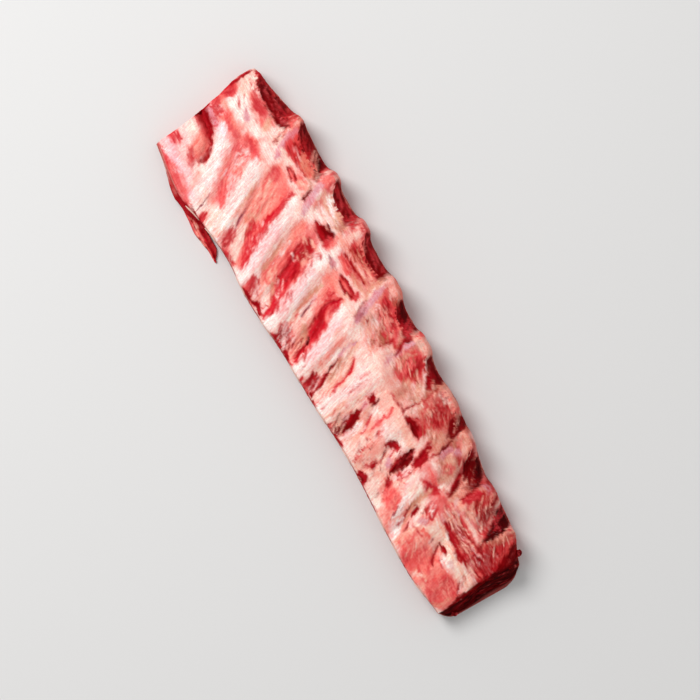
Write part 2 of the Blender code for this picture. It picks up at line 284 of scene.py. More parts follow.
def noise(u, v, seed):
    i, j = np.floor(u).astype(np.int64), np.floor(v).astype(np.int64)
    a, b = u - i, v - j
    a, b = a * a * (3 - 2 * a), b * b * (3 - 2 * b)
    low = hashed(i, j, seed) * (1 - a) + hashed(i + 1, j, seed) * a
    high = hashed(i, j + 1, seed) * (1 - a) + hashed(i + 1, j + 1, seed) * a
    return low * (1 - b) + high * b


def layered(u, v, seed):
    return 0.6 * noise(u, v, seed) + 0.3 * noise(2.1 * u, 2.1 * v, seed + 1) \
        + 0.15 * noise(4.3 * u, 4.3 * v, seed + 2)


# Tissues: colour, the colour of its streaks, roughness, relief of its fibres in millimetres.
tissues = {
    "whiteFat": ("FFF6F0", "FDE2D9", 0.42, 0.10),
    "creamFat": ("FFE4D6", "FDD0C0", 0.42, 0.12),
    "pinkFat": ("FFC8C2", "FFE2DA", 0.40, 0.12),
    "peach": ("FBB09B", "FDCEBB", 0.40, 0.12),
    "tan": ("E2957C", "EFB8A0", 0.38, 0.14),
    "tanDark": ("B0604C", "CC8068", 0.36, 0.16),
    "lilac": ("DE96A0", "EDB4B8", 0.36, 0.10),
    "purple": ("94323E", "B45A66", 0.34, 0.14),
    "salmon": ("F98C7E", "FFAE9F", 0.36, 0.14),
    "coral": ("F16662", "F9948A", 0.34, 0.14),
    "softRed": ("DE4A4D", "F07F78", 0.33, 0.18),
    "red": ("C62630", "DE5556", 0.32, 0.22),
    "brightRed": ("C60C22", "E04048", 0.30, 0.20),
    "deepRed": ("960611", "BA2029", 0.30, 0.24),
    # dark is the meat's own dark red, as in veins, and painted shade in hollows, gaps and on faces
    # turned from the light; the near-black colour below it is dark red meat under painted shade,
    # for the deepest gaps.
    "dark": ("6C0307", "8C0B10", 0.28, 0.26),
    "black": ("3E0103", "5E0508", 0.26, 0.26),
}
# Lean meat shines through the fat round it: how far each of these reddens it, in mm and share,
# and the tint that it gives.
flush = {"salmon": (3.0, 0.3), "coral": (3.5, 0.35), "softRed": (4.0, 0.4), "red": (4.0, 0.4),
         "brightRed": (4.0, 0.45), "deepRed": (3.0, 0.35), "dark": (2.5, 0.35)}
shineTint = (0.97, 0.42, 0.42)
# Broad strokes of fat are laid narrower, thinner and more ragged than their row says, all others
# sharper, and broad strokes of lean meat wider.
brushes = {
    "fats": ("whiteFat", "creamFat"), "broadFat": 2, "fatWidth": 0.8, "fatRagged": 1.6,
    "fatCover": 0.9, "sharper": 0.75, "leastSoft": 0.45, "broadLean": 0.8, "leanWidth": 1.12,
    "leanWider": 0.25,
}
strokesLaid = [0]              # each stroke's number seeds its noise


def smoothPath(points, step=0.6):
    # A stroke's points (u, v, half width), read close together on a smooth line.
    points = np.array(points, float).reshape(-1, 3)
    if len(points) == 1:
        points = np.repeat(points, 2, 0) + [[-0.01, 0, 0], [0.01, 0, 0]]
    gone = np.concatenate([[0], np.cumsum(np.hypot(*np.diff(points[:, :2], axis=0).T))])
    at = np.linspace(0, gone[-1], max(3, int(gone[-1] / step) + 1))
    return np.stack([curve(tuple(zip(gone, column)), at) for column in points.T], 1), at


def nearPath(sheet, path, reach):
    # The points of a sheet in the box round a stroke.
    u, v = sheet["u"], sheet["v"]
    return np.flatnonzero((u > path[:, 0].min() - reach) & (u < path[:, 0].max() + reach)
                          & (v > path[:, 1].min() - reach) & (v < path[:, 1].max() + reach))


def paint(sheet, tissue, points, soft=1.2, relief=0.0, cover=1.0, ragged=1.0, grain=None,
          fibre=0.9):
    # Lays one stroke of a tissue on a sheet of the skin. Its edges and streaks follow its own
    # direction, or the grain in degrees.
    strokesLaid[0] += 1
    seed = strokesLaid[0] * 7
    path, gone = smoothPath(points)
    if tissue in brushes["fats"] and path[:, 2].max() > brushes["broadFat"]:
        path[:, 2] *= brushes["fatWidth"]
        ragged *= brushes["fatRagged"]
        cover *= brushes["fatCover"]
    else:
        soft = max(brushes["leastSoft"], soft * brushes["sharper"])
    shineReach, shineShare = flush.get(tissue, (0, 0))
    if shineReach and path[:, 2].max() > brushes["broadLean"]:
        path[:, 2] = path[:, 2] * brushes["leanWidth"] + brushes["leanWider"]
    else:
        shineReach = 0
    reach = path[:, 2].max() + soft + ragged + shineReach
    near = nearPath(sheet, path, reach)
    if not len(near):
        return
    u, v = sheet["u"][near], sheet["v"][near]
    away = np.hypot(u[:, None] - path[:, 0], v[:, None] - path[:, 1]) - path[:, 2]
    k = away.argmin(1)
    past = away[np.arange(len(k)), k]
    inside = past < reach
    near, u, v, k, past = near[inside], u[inside], v[inside], k[inside], past[inside]
    if not len(near):
        return
    toward = np.gradient(path[:, :2], axis=0)
    toward /= np.maximum(np.hypot(*toward.T), 1e-6)[:, None]
    offU, offV = u - path[k, 0], v - path[k, 1]
    side = toward[k, 0] * offV - toward[k, 1] * offU
    along = gone[k] + toward[k, 0] * offU + toward[k, 1] * offV
    if grain is not None:
        along, side = alongAcross(u, v, grain)
    edge = past + ragged * (0.8 * noise(along / 5, side / fibre, seed)
                            + 0.5 * noise(along / 2, side / (0.7 * fibre), seed + 1))
    cut = np.clip(0.5 - edge / (2 * soft), 0, 1)
    share = cover * cut * cut * (3 - 2 * cut)
    colour, streak, rough, depth = tissues[tissue]
    lines = noise(along / 9, side / fibre, seed + 2) + 0.6 * noise(along / 3, side / 0.6, seed + 3)
    mix = np.clip(0.3 + 0.6 * lines, 0, 1)[:, None]
    shade = toLinear(colour) * (1 - mix) + toLinear(streak) * mix
    if shineReach:
        uneven = past + 1.2 * noise(along / 6, side / 2.5, seed + 4)
        glow = np.clip(1 - uneven / shineReach, 0, 1)
        glow = (cover * shineShare * glow * glow)[:, None]
        sheet["colour"][near] *= 1 - glow + glow * np.array(shineTint)
    sheet["colour"][near] += (shade - sheet["colour"][near]) * share[:, None]
    sheet["rough"][near] += (rough - sheet["rough"][near]) * share
    sheet["relief"][near] += share * (relief + depth * lines)


def strands(sheet, tissue, points, count, length, half=0.45, grain=None, spread=9, **look):
    # Short strokes at seeded places inside the area of a stroke, for torn and striated meat.
    path, _ = smoothPath(points, 1.0)
    toward = np.gradient(path[:, :2], axis=0)
    for _ in range(count):
        k = dice.integers(len(path))
        out = dice.uniform(-0.95, 0.95) * path[k, 2]
        angle = np.arctan2(toward[k, 1], toward[k, 0]) if grain is None else radians(grain)
        normal = np.array([-toward[k, 1], toward[k, 0]])
        normal /= max(np.hypot(*normal), 1e-6)
        middle = path[k, :2] + normal * out
        angle += radians(dice.normal(0, spread))
        reach = length * dice.uniform(0.6, 1.3) / 2
        way = np.array([cos(angle), sin(angle)])
        bend = np.array([-way[1], way[0]]) * dice.normal(0, 0.06) * reach
        wide = half * dice.uniform(0.6, 1.3)
        ends = (middle - way * reach, middle + bend, middle + way * reach)
        line = [(*ends[0], 0.1), (*ends[1], wide), (*ends[2], 0.1)]
        paint(sheet, tissue, line, soft=0.5, ragged=0.25, **look)


def newSheet(u, v, share, where, base):
    # A part of the skin that is painted on two of its coordinates.
    return {"u": u[where], "v": v[where], "share": share[where], "where": where,
            "colour": np.tile(toLinear(base), (len(where), 1)),
            "rough": np.full(len(where), pork["roughness"]), "relief": np.zeros(len(where))}


# The fat and membrane of the bone side: its colours, where the rib heads begin, over how many
# millimetres its streaks turn there, and how much its veins redden it.
fat = {"pale": "FFEFE6", "pink": "FFD4C7", "blush": "F99C8A", "headsFrom": 8, "headsSpan": 10,
       "streakRelief": 0.14, "blotchRelief": 0.35, "veins": (0.02, 0.34, 0.32),
       "veinRelief": 0.1}


def groundBoneSide(sheet, ribAlong):
    # Fat and membrane under everything else. Its fine streaks follow the ribs on the belly half
    # and the rack's length among the rib heads.
    u, v = sheet["u"], sheet["v"]
    among = np.clip((v - fat["headsFrom"]) / fat["headsSpan"], 0, 1)
    streak = (1 - among) * noise(ribAlong / 1.2, v / 11, 501) + among * noise(u / 12, v / 1.1, 502)
    patch = layered(u / 24, v / 18, 503)
    blotch = layered(u / 6, v / 5, 504)
    pink = np.clip(0.42 + 0.55 * patch + 0.35 * blotch, 0, 1)[:, None]
    blush = np.clip(0.1 + 0.45 * streak + 0.4 * blotch, 0, 1)[:, None] * 0.8
    colour = toLinear(fat["pale"]) * (1 - pink) + toLinear(fat["pink"]) * pink
    sheet["colour"][:] = colour + (toLinear(fat["blush"]) - colour) * blush
    sheet["relief"][:] = fat["streakRelief"] * streak + fat["blotchRelief"] * blotch


def glaze(sheet, tint, points, soft=5.0, ragged=3.0, cover=1.0):
    # Darkens and reddens an area by a factor for red, for green and for blue, which is green's
    # where none is given, and keeps its detail.
    tint = [float(factor) for factor in tint.split(",")]
    strokesLaid[0] += 1
    path, _ = smoothPath(points)
    near = nearPath(sheet, path, path[:, 2].max() + soft + ragged)
    u, v = sheet["u"][near], sheet["v"][near]
    past = (np.hypot(u[:, None] - path[:, 0], v[:, None] - path[:, 1]) - path[:, 2]).min(1)
    past += ragged * noise(u / 7, v / 3.5, strokesLaid[0] * 7)
    share = cover * smoothStep(0.5 - past / (2 * soft))[:, None]
    sheet["colour"][near] *= 1 - share * (1 - np.array([tint[0], tint[1], tint[-1]]))


def wash(sheet, tissue, points, cover=0.7, soft=4.5, **look):
    paint(sheet, tissue, points, soft=soft, ragged=3.5, cover=cover, fibre=2.2, **look)


# The strokes of the bone side. Each row holds a tissue, the places of the stroke's points with
# their half widths, and how it differs from a plain stroke. A word such as 12*3.5*0.5 strews 12
# short strokes, 3.5 mm long and 0.5 mm in half width, over the stroke's area. A row that starts
# with a space goes on with the row above it.
washes = """
# The broad reds and pinks of the lean meat under the fat, before anything finer.
red -198 39 2 -180 41 5 -158 44 7 -120 46 7 cover=0.85
red -120 46 7 -90 47 6 -50 46 8 -10 45 7 cover=0.85
tanDark -10 45 7 30 42 9 70 38 10 100 34 9 cover=0.8
softRed -150 37 4 -128 36 5 -118 35 3 cover=0.8
tan -96 36 3 -80 33 5 -72 28 4
red -58 36 5 -38 34 5 -30 31 3
tan -25 38 6 -18 28 5 -14 18 3
softRed -12 36 4 2 34 5 12 28 4 cover=0.75
softRed 24 33 6 36 32 8 46 34 5
peach 18 14 5 45 14 7 75 6 6 cover=0.5
tan 56 30 7 72 24 8 92 20 6 cover=0.75
softRed 62 33 5 74 27 5 84 36 4 cover=0.6
tanDark 98 28 8 112 20 9 124 8 8 cover=0.6
red 104 36 6 118 32 7 132 30 7 cover=0.75
red 132 31 8 155 28 10 178 24 9 190 18 7 cover=0.85
softRed 140 20 7 160 16 7 182 12 7
red 130 4 5 158 3 7 188 3 6 cover=0.75
softRed 100 4 4 120 3 6 132 -4 6 cover=0.6
coral 140 -29 8 162 -28 10 186 -25 9 cover=0.8
salmon 100 -24 9 112 -24 10 124 -34 7 cover=0.8
peach 60 -20 12 78 -24 13 96 -12 10 cover=0.75
peach 8 -22 8 26 -20 10 52 -20 10 cover=0.6
salmon -158 9 5 -150 -8 6 -136 -26 6
salmon -130 18 6 -118 0 9 -102 -20 9 -92 -34 5 cover=0.8
softRed -106 -4 3 -98 -20 4 -88 -35 3 cover=0.6
softRed -82 19 4 -74 6 7 -62 -14 7 -54 -26 4 cover=0.85
salmon -48 15 5 -36 2 6 -24 -16 7 -16 -34 6 cover=0.8
softRed -30 6 3 -20 -14 4 -12 -32 4
salmon -190 5 5 -174 5 5 -160 4 4
pinkFat -186 -38 8 -166 -38 8 -146 -40 4 cover=0.9
softRed -199 34 2.5 -198 20 3.5 -196 6 2.5 cover=0.85 soft=2.5
softRed -192 -31 3 -186 -31 3"""

# Painted shade beside the eighth rib, on its side away from the light.
# Painted shade beside the fifth rib, in lilac grey.
# Painted shade beside the fourth rib, on its side away from the light.
# Painted shade beside the second rib, on its side away from the light.
# Painted shade beside the third rib, on its side away from the light.
# The next two rows are painted shade below the torn spots, in lilac grey and tan.
# The next two rows are painted shade beside the round red muscle.
# The next two rows are painted shade in the groove beside the fifth rib.
boneSideStrokes = """
# From the wide end to the second rib.
creamFat -200 37 4 -194 29 8 soft=3
peach -196 30 2 -190 24 2 -186 30 1.5 soft=3 cover=0.5
softRed -196 42 1 -186 44 3 -176 46 3 ragged=2
red -198 40 0.7 -190 41.5 1.2 -183 39 2
dark -186 39 1.2 -178 38.5 3.6 -169 41 5.5 -160 39.5 4 -153 37.5 1.8 relief=-0.8 ragged=2
deepRed 14*9*0.4 -195 39 2 -160 36 3 grain=-10
softRed -183 29 2 -176 29.5 3 -168 29 2 -160 32 1.4 soft=3 ragged=3 cover=0.75
red -179 30 2 -171 31 2 soft=2 cover=0.5
tan -164 31 2 -161 27 3 soft=2 cover=0.8
coral -168 26 1 -164 25.5 1.6 soft=1 cover=0.8
softRed 14*9*0.4 -186 33 3 -160 33 3 grain=-6
lilac -179 20 0.8 -173 18 2.4 soft=1.5 cover=0.9
softRed -198 21 2.2 -195 17 2.4 -197.5 12 1 soft=1
whiteFat -194 14 0.5 -186 19 0.8 soft=0.5 relief=0.3
salmon -195 7 3 -186 6.5 3.6 -176 6 3.2 -165 7 2 soft=2
softRed -184 8 1.6 -176 5 1.6 -166 6.5 1.8 soft=1.4 cover=0.8
red -195 7 1.6 -191 4 2.2 -185 3.5 1.4 ragged=2 cover=0.8
pinkFat 12*3.5*0.5 -194 5 3 -184 6 3 grain=40
lilac -192 -2.5 2 -180 -2.5 2.2 soft=1.5 cover=0.8
red 9*4*0.45 -194 0 1.5 -180 -1 1 grain=15
softRed 16*2*0.4 -192 -3 2 -178 -3.5 2 grain=60
# The torn pocket with its dark hollow, and the bulb below it.
pinkFat -191 -19 7 -178 -21 9 soft=3
creamFat -188 -19 5.5 -181 -18 5 soft=3
salmon -180 -13 2 -174 -19 5 -171 -27 5 soft=2.5
softRed -176 -12 0.6 -168 -18 1 -166.4 -27 1.2 -172 -32 2 -178 -34 0.6 soft=2.4 cover=0.7 ragged=2
deepRed -194 -8.3 3.2 -184 -8.2 2.8 -178 -8.8 1.8 soft=0.8 ragged=0.8
red -192 -12 1 -184 -11.5 1.2 -176 -12 1 soft=2.4 cover=0.7
deepRed -178 -10.5 0.6 -172 -11.8 0.6 -166 -16.5 0.8 -163.5 -21 0.9 -163.5 -26 0.5 soft=0.5
 relief=-0.7
softRed -190 -33 2.2 -185 -31 2.8 ragged=2
pinkFat -188 -40 3.5 -172 -41 3.5 -160 -43 3 soft=2
softRed -190 -45.5 1.6 -181 -46 2 -170 -47 1.8 -158 -49 1.5 soft=1.3 ragged=1.6
salmon -170 -44 2 -160 -43 3 -154 -46 3 soft=2 cover=0.7
whiteFat 22*6*0.4 -188 -39 4 -165 -41 4 grain=30
# The first rib.
whiteFat -177 1 3 -172 -2 4 -164 -10 4.6 -156 -20 4.6 -149 -31 4.6 -142 -43 4.6 soft=1.6
 relief=0.3
pinkFat 24*12*0.5 -168 -6 4 -145 -40 4
salmon -157 -30 0.8 -153 -37 1.6 -150 -44 1.4 soft=1.5 cover=0.6
# Between the first and the second rib, and the second rib.
salmon -163 13 1.5 -153 11 4 -146 9 4 soft=2.4 ragged=2
softRed -162 12 1 -154 12.5 2 -148 11 2 soft=1.5 ragged=2
softRed -161 4 1 -157 -1 2.6 -152 -4 2.2 soft=1.5 ragged=2
salmon -152 -2 4 -147 -9 4.6 -144 -17 3.2 soft=2.4 ragged=1.6
pinkFat 30*4*0.45 -155 6 4 -144 -14 4
coral 24*6*0.5 -158 8 4 -144 -16 4
pinkFat -140 -10 2.5 -134 -18 3 -128 -24 2.5 soft=2
coral -143 -21 1 -136 -24 2.2 -128 -27 2 soft=1.3 ragged=1.5
softRed 12*6*0.4 -145 -18 2 -128 -26 3 grain=-28
purple -141 -30 0.3 -137.5 -36 0.5 -134.5 -45 0.4 soft=0.5 relief=-0.4 ragged=0.3
tan -143 -31 1.2 -138 -41 1.2 cover=0.4
red -131 -40 0.8 -128.5 -44 2.4 -127 -47.5 1.6 soft=0.7
whiteFat -145 9 2.5 -141 5 4.2 -135 -4 4.4 -128 -15 4.4 -122 -27 4.6 -117 -38 5 soft=1.6
 relief=0.3
pinkFat 22*12*0.5 -140 4 4 -120 -34 4
creamFat -123 -31 5 -117 -39 8 -110 -45 6 soft=2
whiteFat 24*9*0.6 -124 -30 5 -110 -44 7 grain=-75
peach 10*9*0.5 -124 -32 5 -110 -44 7 grain=-75
tan -131 2 0.7 -126 -7 0.9 -120 -20 1.2 soft=1 cover=0.8
purple -123 -3 0.3 -118 -13 0.7 -113.5 -23 0.6 -109.5 -28.5 0.5 soft=0.6 relief=-0.3 ragged=0.5
lilac -121 -8 0.8 -114 -21 1.2 soft=1 cover=0.5
softRed -110.5 -30 1.8 -107 -35 4 -102 -40 2 soft=1.4 cover=0.7
deepRed 12*7*0.35 -110 -31 2 -104 -39 4 grain=-64
red -104 -42 1 -97 -41 1.4 -89 -41 1 soft=1 ragged=1.5
# The edge with the rib heads, from the second rib to the fourth.
peach -155 50 3 -153 42 3.5 -150 30 3 soft=2 cover=0.7
creamFat 26*6*0.5 -157 49 3 -151 30 3 grain=-62
red 16*6*0.5 -158 49 3 -153 40 3 grain=-55
coral 18*6*0.4 -158 48 3 -152 32 4 grain=-70
deepRed 8*7*0.35 -153 36 2 -149 28 2 grain=-60
lilac -148.5 43 2 -146 34 2.4 -142 26 2.2 -139 22 1.2 soft=1.4
dark -149 51 2 -142 47 4.6 -135 46 4.6 -127 46.5 3.8 -119 47 3 -113 40 2 relief=-0.6 ragged=2
black -122 48 1 -117 43 1.6 -111 37.5 0.8 soft=0.8
red 26*9*0.5 -145 45 3 -124 43 4 grain=-28
peach 11*12*0.45 -132 48 3 -116 40 3 grain=-38 relief=0.3
black 6*7*0.4 -140 42 1 -128 41 1 grain=-20
softRed -141 35 4 -132 34.5 5 -123 34 4.2 -117 35 2 soft=1.6 grain=-4 relief=-0.4
red -139 33 2.6 -130 34 3 soft=2.5 grain=-4 cover=0.6
deepRed 24*11*0.4 -140 36 4 -120 35 4 grain=-5
tan 20*10*0.5 -130 37 3 -114 36 3 grain=-12
pinkFat 10*8*0.4 -142 33 4 -120 33 4 grain=-4
creamFat -142 28 1.5 -132 29 1.2 -122 30.5 1 -113 33 1 soft=1
coral -127 26 1.4 -120 26.4 2.4 -113 28.5 2.8 relief=-0.5 grain=5
peach -116 28 2 -111 30 2.4 soft=1.5 cover=0.7
deepRed -129.5 25.8 0.5 -125 27.6 0.7 -119 26.2 0.4 soft=0.5 relief=-0.5
deepRed -129.5 25.2 0.5 -125 24.4 0.6 -119 23.8 0.3 soft=0.5 relief=-0.5
tanDark -117 33 0.5 -111 33.6 0.9 -107.5 30 1.4 soft=0.9 cover=0.8
# The third rib's head and neck.
creamFat -113 50 2 -110 42 2 -105 52 2.5 -100 46 2 soft=1.5
softRed 9*7*0.45 -115 50 3 -110 42 2 grain=-72
coral -107.5 47.5 2 -106.5 43 2.4 soft=1 relief=0.3
lilac -106.5 39 2.4 -104 32 3 -100.5 25 2.8 -96 19.5 1.8 soft=1.8
dark -107.5 33 0.4 -105.5 28 0.9 -104 23.5 0.5 soft=0.7 relief=-0.4
tanDark -100 40 1.6 -99 34 2 -96 28.5 1.4 soft=1.8 cover=0.7
coral -99 38 1.2 -97 29 1 soft=1.4 cover=0.5
tan 34*13*0.5 -95 39 2 -73 36 5 grain=-2
whiteFat 20*12*0.5 -95 36 4 -75 34 5 grain=-3
dark -103 51 1 -98 48 2.6 -90 47 4.4 -80 46.8 4.8 -73 46.5 4.2 soft=1.1 relief=-0.6 ragged=1.5
red 22*9*0.55 -101 49 2 -76 47 4 grain=-18
deepRed 10*8*0.4 -96 43 1 -76 41 1 grain=-8
# The window between the third and the fourth rib.
tanDark 12*7*0.5 -77 39 2 -73 34 3 grain=-4
deepRed -86 23.6 0.8 -80 24 2.4 -73 24 3.6 -70 24 3.2 soft=0.9 relief=-0.9 grain=0
dark -80 25.5 0.8 -72.5 26.5 1.8 soft=1 relief=-0.4 grain=0
dark -80.5 29.6 0.6 -72.5 29.8 1.2 soft=0.7 relief=-0.4 grain=0
red -71.5 27 1.4 -68.5 22.5 2.2 ragged=1.8
coral -70 31 1.2 -67 26 1.2 -65 19.5 1.2 soft=1.3 cover=0.7
# Between the second and the third rib, and the third rib.
salmon -128 15 5 -121 10 8 -116 -2 8 -110 -13 6 -104 -22 4 soft=2.4 relief=-0.4
coral -131 17 3.2 -122 16 4 -113 16 3.6 -110 8 2.5 soft=3 cover=0.7
softRed -133 18 1.8 -129.5 15 3 -127.5 8 1.8 soft=1.4 ragged=1.6
peach -117 0 3.5 -112 -10 4 soft=3.5 cover=0.8
peach 26*12*0.6 -124 10 5 -110 -16 5
coral 18*12*0.5 -126 12 5 -112 -10 5
tan -112 -13 3 -107 -21 3.4 -102 -26 2 soft=2.4 cover=0.6
creamFat 18*9*0.6 -110 -20 3 -100 -34 5 grain=-52
creamFat -106 -26 2.5 -99 -33 4 -93 -38 3 soft=2
red -112 18 1.6 -109.5 11 2 -106.5 3 2 -104 -4 2.4 -101 -10 2.6 -97 -14 3 -92 -21 2.2 soft=1.6
 ragged=2.4
brightRed -108 6 0.9 -104.5 -2 1.6 -102 -8 1.6 -97 -13 1.8 -93 -21 1.3 -89.5 -27 1.7 -86 -35 1.5
 -84 -38.5 0.5 soft=0.9 ragged=2 relief=-0.4
softRed -106 -15 3.5 -99 -20 3.5 -95 -27 2.2 soft=2 cover=0.6 ragged=2.5
brightRed 40*5*0.45 -107 -13 4 -90 -30 4 grain=-50 spread=22
pinkFat 24*4*0.4 -104 -8 4 -88 -28 4 grain=-40
pinkFat -95 -12 2.5 -88 -21 2.5 -84 -30 2 soft=2.5 cover=0.7
whiteFat -106 18 3.5 -103 11 4.6 -98 0 4.8 -92 -11 4.6 -86 -23 4.2 -81 -34 4.6 -77 -44 5 soft=1.6
 relief=0.3
pinkFat 24*12*0.5 -102 10 4 -80 -36 4
# Between the third and the fourth rib, and the fourth rib.
salmon -90 15 2.5 -86 9 4.2 -81 1 4.4 -77 -10 4.5 -73 -20 4.5 -69 -27 3 soft=2 relief=-0.3
red -76 13 3 -73 6 5.5 -70 -3 6.5 -66 -11 6 -61 -18 4 soft=2.2 ragged=2.2 relief=-0.3
deepRed -78 13 1 -72 10 2.6 -68.5 4 2.2 -65 0 1.8 -62 -10 2 soft=2 cover=0.75 ragged=2
brightRed -72 -2 3 -67 -9 4 -62 -16 3 soft=3 cover=0.7
softRed -63 4 2.5 -61 0 2 soft=1.4 ragged=2.4
peach 10*6*0.5 -76 14 2 -64 16 2 grain=-6
softRed 16*9*0.5 -84 12 3 -76 -4 4
peach 16*7*0.35 -80 13 3 -64 2 4 grain=-20 spread=18
pinkFat -76 -1.8 0.3 -70 -2.4 0.5 -63 -2 0.4 soft=0.5
peach -72 0 0.2 -67 -0.5 0.4 -62.5 0.6 0.3 soft=0.5
deepRed 22*8*0.45 -76 8 4 -63 -14 5
coral -76 -10 3 -72 -19 4.5 -68 -24 3.5 soft=2.6 cover=0.8
peach 18*7*0.5 -74 -16 3 -64 -26 5 grain=-50
tan -87.5 -2 0.9 -82 -11 1.4 -76.5 -24 1.3 soft=1.1 cover=0.9
whiteFat -84 2 0.4 -80 -6 0.6 -74 -20 0.4 soft=0.7 cover=0.7
# The red groove beside the fourth rib.
brightRed -66 -18 1 -60 -19 2 -56 -24 2.2 -51.5 -30 2.8 -48 -35 2.4 -46.5 -41 1.4 soft=1
 ragged=1.8 relief=-0.6
pinkFat 14*5*0.35 -62 -19 2 -50 -29 3 grain=-50
tan -64 -24 1.2 -57 -29 1.4 -53 -33 0.8 soft=1 cover=0.8
red 9*7*0.4 -64 -25 2 -54 -31 2 grain=-38
creamFat -65 -28 1.4 -58 -33 2 -53.5 -36 1.2 -55 -39 0.6 relief=0.5
softRed -74 -33 1.4 -72 -37 2.2 -70 -42 2.2 soft=1.3 relief=-0.3
salmon -68 -31 2 -64 -36 3.4 -61 -41 3 soft=1.6
red 26*6*0.4 -74 -34 1.6 -62 -40 4 grain=-66
pinkFat 20*6*0.45 -70 -32 3 -60 -40 4 grain=-56
deepRed -71 -43 0.8 -62 -43 1 -56 -40.5 1.6 -50.5 -41.6 1.4 soft=0.8 ragged=1.4
red -53 -33 0.4 -53 -38 0.6 soft=0.5
whiteFat -63 18 4 -60 8 4.4 -56 0 4.6 -51.5 -10 5 -47 -21 3.6 -43.5 -32 3.6 -41 -42 5 soft=1.6
 relief=0.3
pinkFat -56 -12 1.6 -51 -20 1.8 -46 -25 1.6 soft=1.5 cover=0.7
pinkFat 20*12*0.5 -60 8 4 -43 -38 4
coral 6*4*0.4 -50 -18 2 -43 -26 2
# From the fourth rib's head to the fifth rib.
creamFat -73 50 2 -67 46 4.5 -64 38 4 soft=2
red 20*5*0.5 -77 50 3 -70 44 3 grain=60 spread=30
brightRed -72 46 0.4 -69 49.5 0.8 -67.5 50 0.4 soft=0.6 cover=0.8
softRed -69 42 0.6 -67 45 0.8 soft=0.8 cover=0.7
peach 16*9*0.45 -70 34 3 -58 33 3 grain=-2
softRed -58 40 3 -52 38 5 -45 38 4.4 -38 38 2.4 soft=2 grain=2 relief=-0.3
salmon -59 43 2 -52 43 1.6 soft=1.6 cover=0.8 grain=2
deepRed 26*12*0.45 -56 38 4 -36 38 4 grain=3
tan 22*11*0.45 -56 36 4 -32 36 4 grain=3
peach 16*10*0.45 -46 34 2 -30 36 4 grain=8
deepRed -57 30.6 0.5 -47 31 0.8 -33 32 0.5 soft=0.6 ragged=0.8
creamFat -60 32.6 0.4 -46 33.4 0.6 -33 34.4 0.4 soft=0.5
coral -57 27 1.6 -50 26.6 2.4 -43 26.6 1.6 grain=2
red 10*9*0.35 -57 28.5 1 -40 28 1 grain=2
tan -42 28 1.5 -36 27 2.6 -30 28 2 soft=1.6 cover=0.8 grain=4
lilac -60 20 0.8 -55 20 1.8 soft=1.4 cover=0.8
purple 7*5*0.35 -60 20 1.4 -54 19 1.4 grain=8
dark -60 51 1.4 -55 49 2.6 -47 47.6 4.4 -38 47 5 -31.5 47 5 soft=0.9 relief=-0.6 ragged=1.2
red 24*9*0.5 -58 50 2 -36 48 4 grain=-14
# The slit with two dark lips.
coral -45 20 0.8 -36 19.8 1.8 -28 20.6 1.8 soft=0.9 grain=2
deepRed -46 20.6 0.4 -40 21.9 0.8 -31 21 0.9 -26 21 0.9 soft=0.5 relief=-0.8 ragged=0.6
deepRed -43.5 18.6 0.4 -36 17.6 0.8 -29.5 18.4 0.8 -26.5 20 0.6 soft=0.5 relief=-0.8 ragged=0.6
red -29 24 0.8 -27 22.8 1.6 -26.4 20.6 1.2 soft=0.8
peach 12*9*0.5 -44 15 2 -28 15 2 grain=-4
salmon -49 11 2 -44 13 3 -38 12 2 soft=2.4
coral -41 9 1 -36 8 1.5 -33 10 1.5 soft=1.4 ragged=2
tan -46.5 6 1.2 -45 -2 1.8 -42 -12 1.8 -38 -20 1.4 cover=0.95
peach -38 -20 2 -34 -25 2 soft=1.6 cover=0.8
coral 12*4*0.4 -37 -19 1.4 -33 -26 1.6 grain=-66
purple -40.5 -5 0.3 -38 -9.5 0.5 -36.3 -13 0.9 -34.3 -17.5 0.5 soft=0.5 relief=-0.4 ragged=0.3
lilac -42 -2 0.8 -38.6 -7 0.8 soft=0.8 cover=0.8
creamFat -38 0 2 -34 -8 2.4 -30 -16 2 soft=2
# The red groove beside the fifth rib.
coral -37 6 2.4 -34 0 3 -31 -6 2.4 soft=2.2 ragged=2.4 cover=0.8
brightRed 26*3.5*0.45 -38 8 3 -32 2 3 grain=-70 spread=25
brightRed -30.5 12 0.8 -30.5 8 1.2 -32 3 1.4 -30.5 -2 1.8 -27 -6 2.6 -22 -10 4.2 -19.5 -15 3.8
 -17.5 -19 2 ragged=1.6 relief=-0.8
deepRed -28.5 -4 0.8 -25 -7.5 1.4 -21 -12 1.8 -18 -17 1.4 soft=1.6 cover=0.8
brightRed 20*5*0.4 -29 9 2 -25 4 2.4 grain=-28 spread=14
pinkFat -15 -9 2.6 -12 -16 3 -8 -24 2.4 soft=2.6
black -19 -20.4 0.5 -17 -22 0.8 -15.3 -25.4 0.8 soft=0.5 relief=-0.8 ragged=0.4
deepRed -16 -27 1.4 -13.5 -30 1.8 -12 -34 1.5 -11.6 -37 0.7 soft=0.7 relief=-0.6 ragged=1.4
brightRed -12 -29 1 -9.6 -33 1.6 -9.4 -37 1 soft=0.8
tan -28 -19 1.6 -22 -23 2.4 -18 -29 2 soft=1.4 cover=0.9
tanDark -24 -20 0.8 -20 -23.5 1.2 -18 -27 0.8 soft=1 cover=0.7
deepRed 14*7*0.35 -19 -27 1.4 -15 -36 1.6 grain=-66
peach 8*7*0.35 -18 -28 1.4 -13 -38 1.8 grain=-64
# The striated muscle at the belly edge.
softRed -34 -31 2.6 -29 -33 4.6 -26 -39 3.8 soft=1 ragged=1.4 grain=-58 relief=-0.2
red -32 -41 2 -26 -41 2 grain=-58
deepRed 34*9*0.45 -33 -31 3 -27 -38 5 grain=-56 spread=5
pinkFat 24*8*0.35 -33 -30 3 -26 -38 4 grain=-56 spread=5
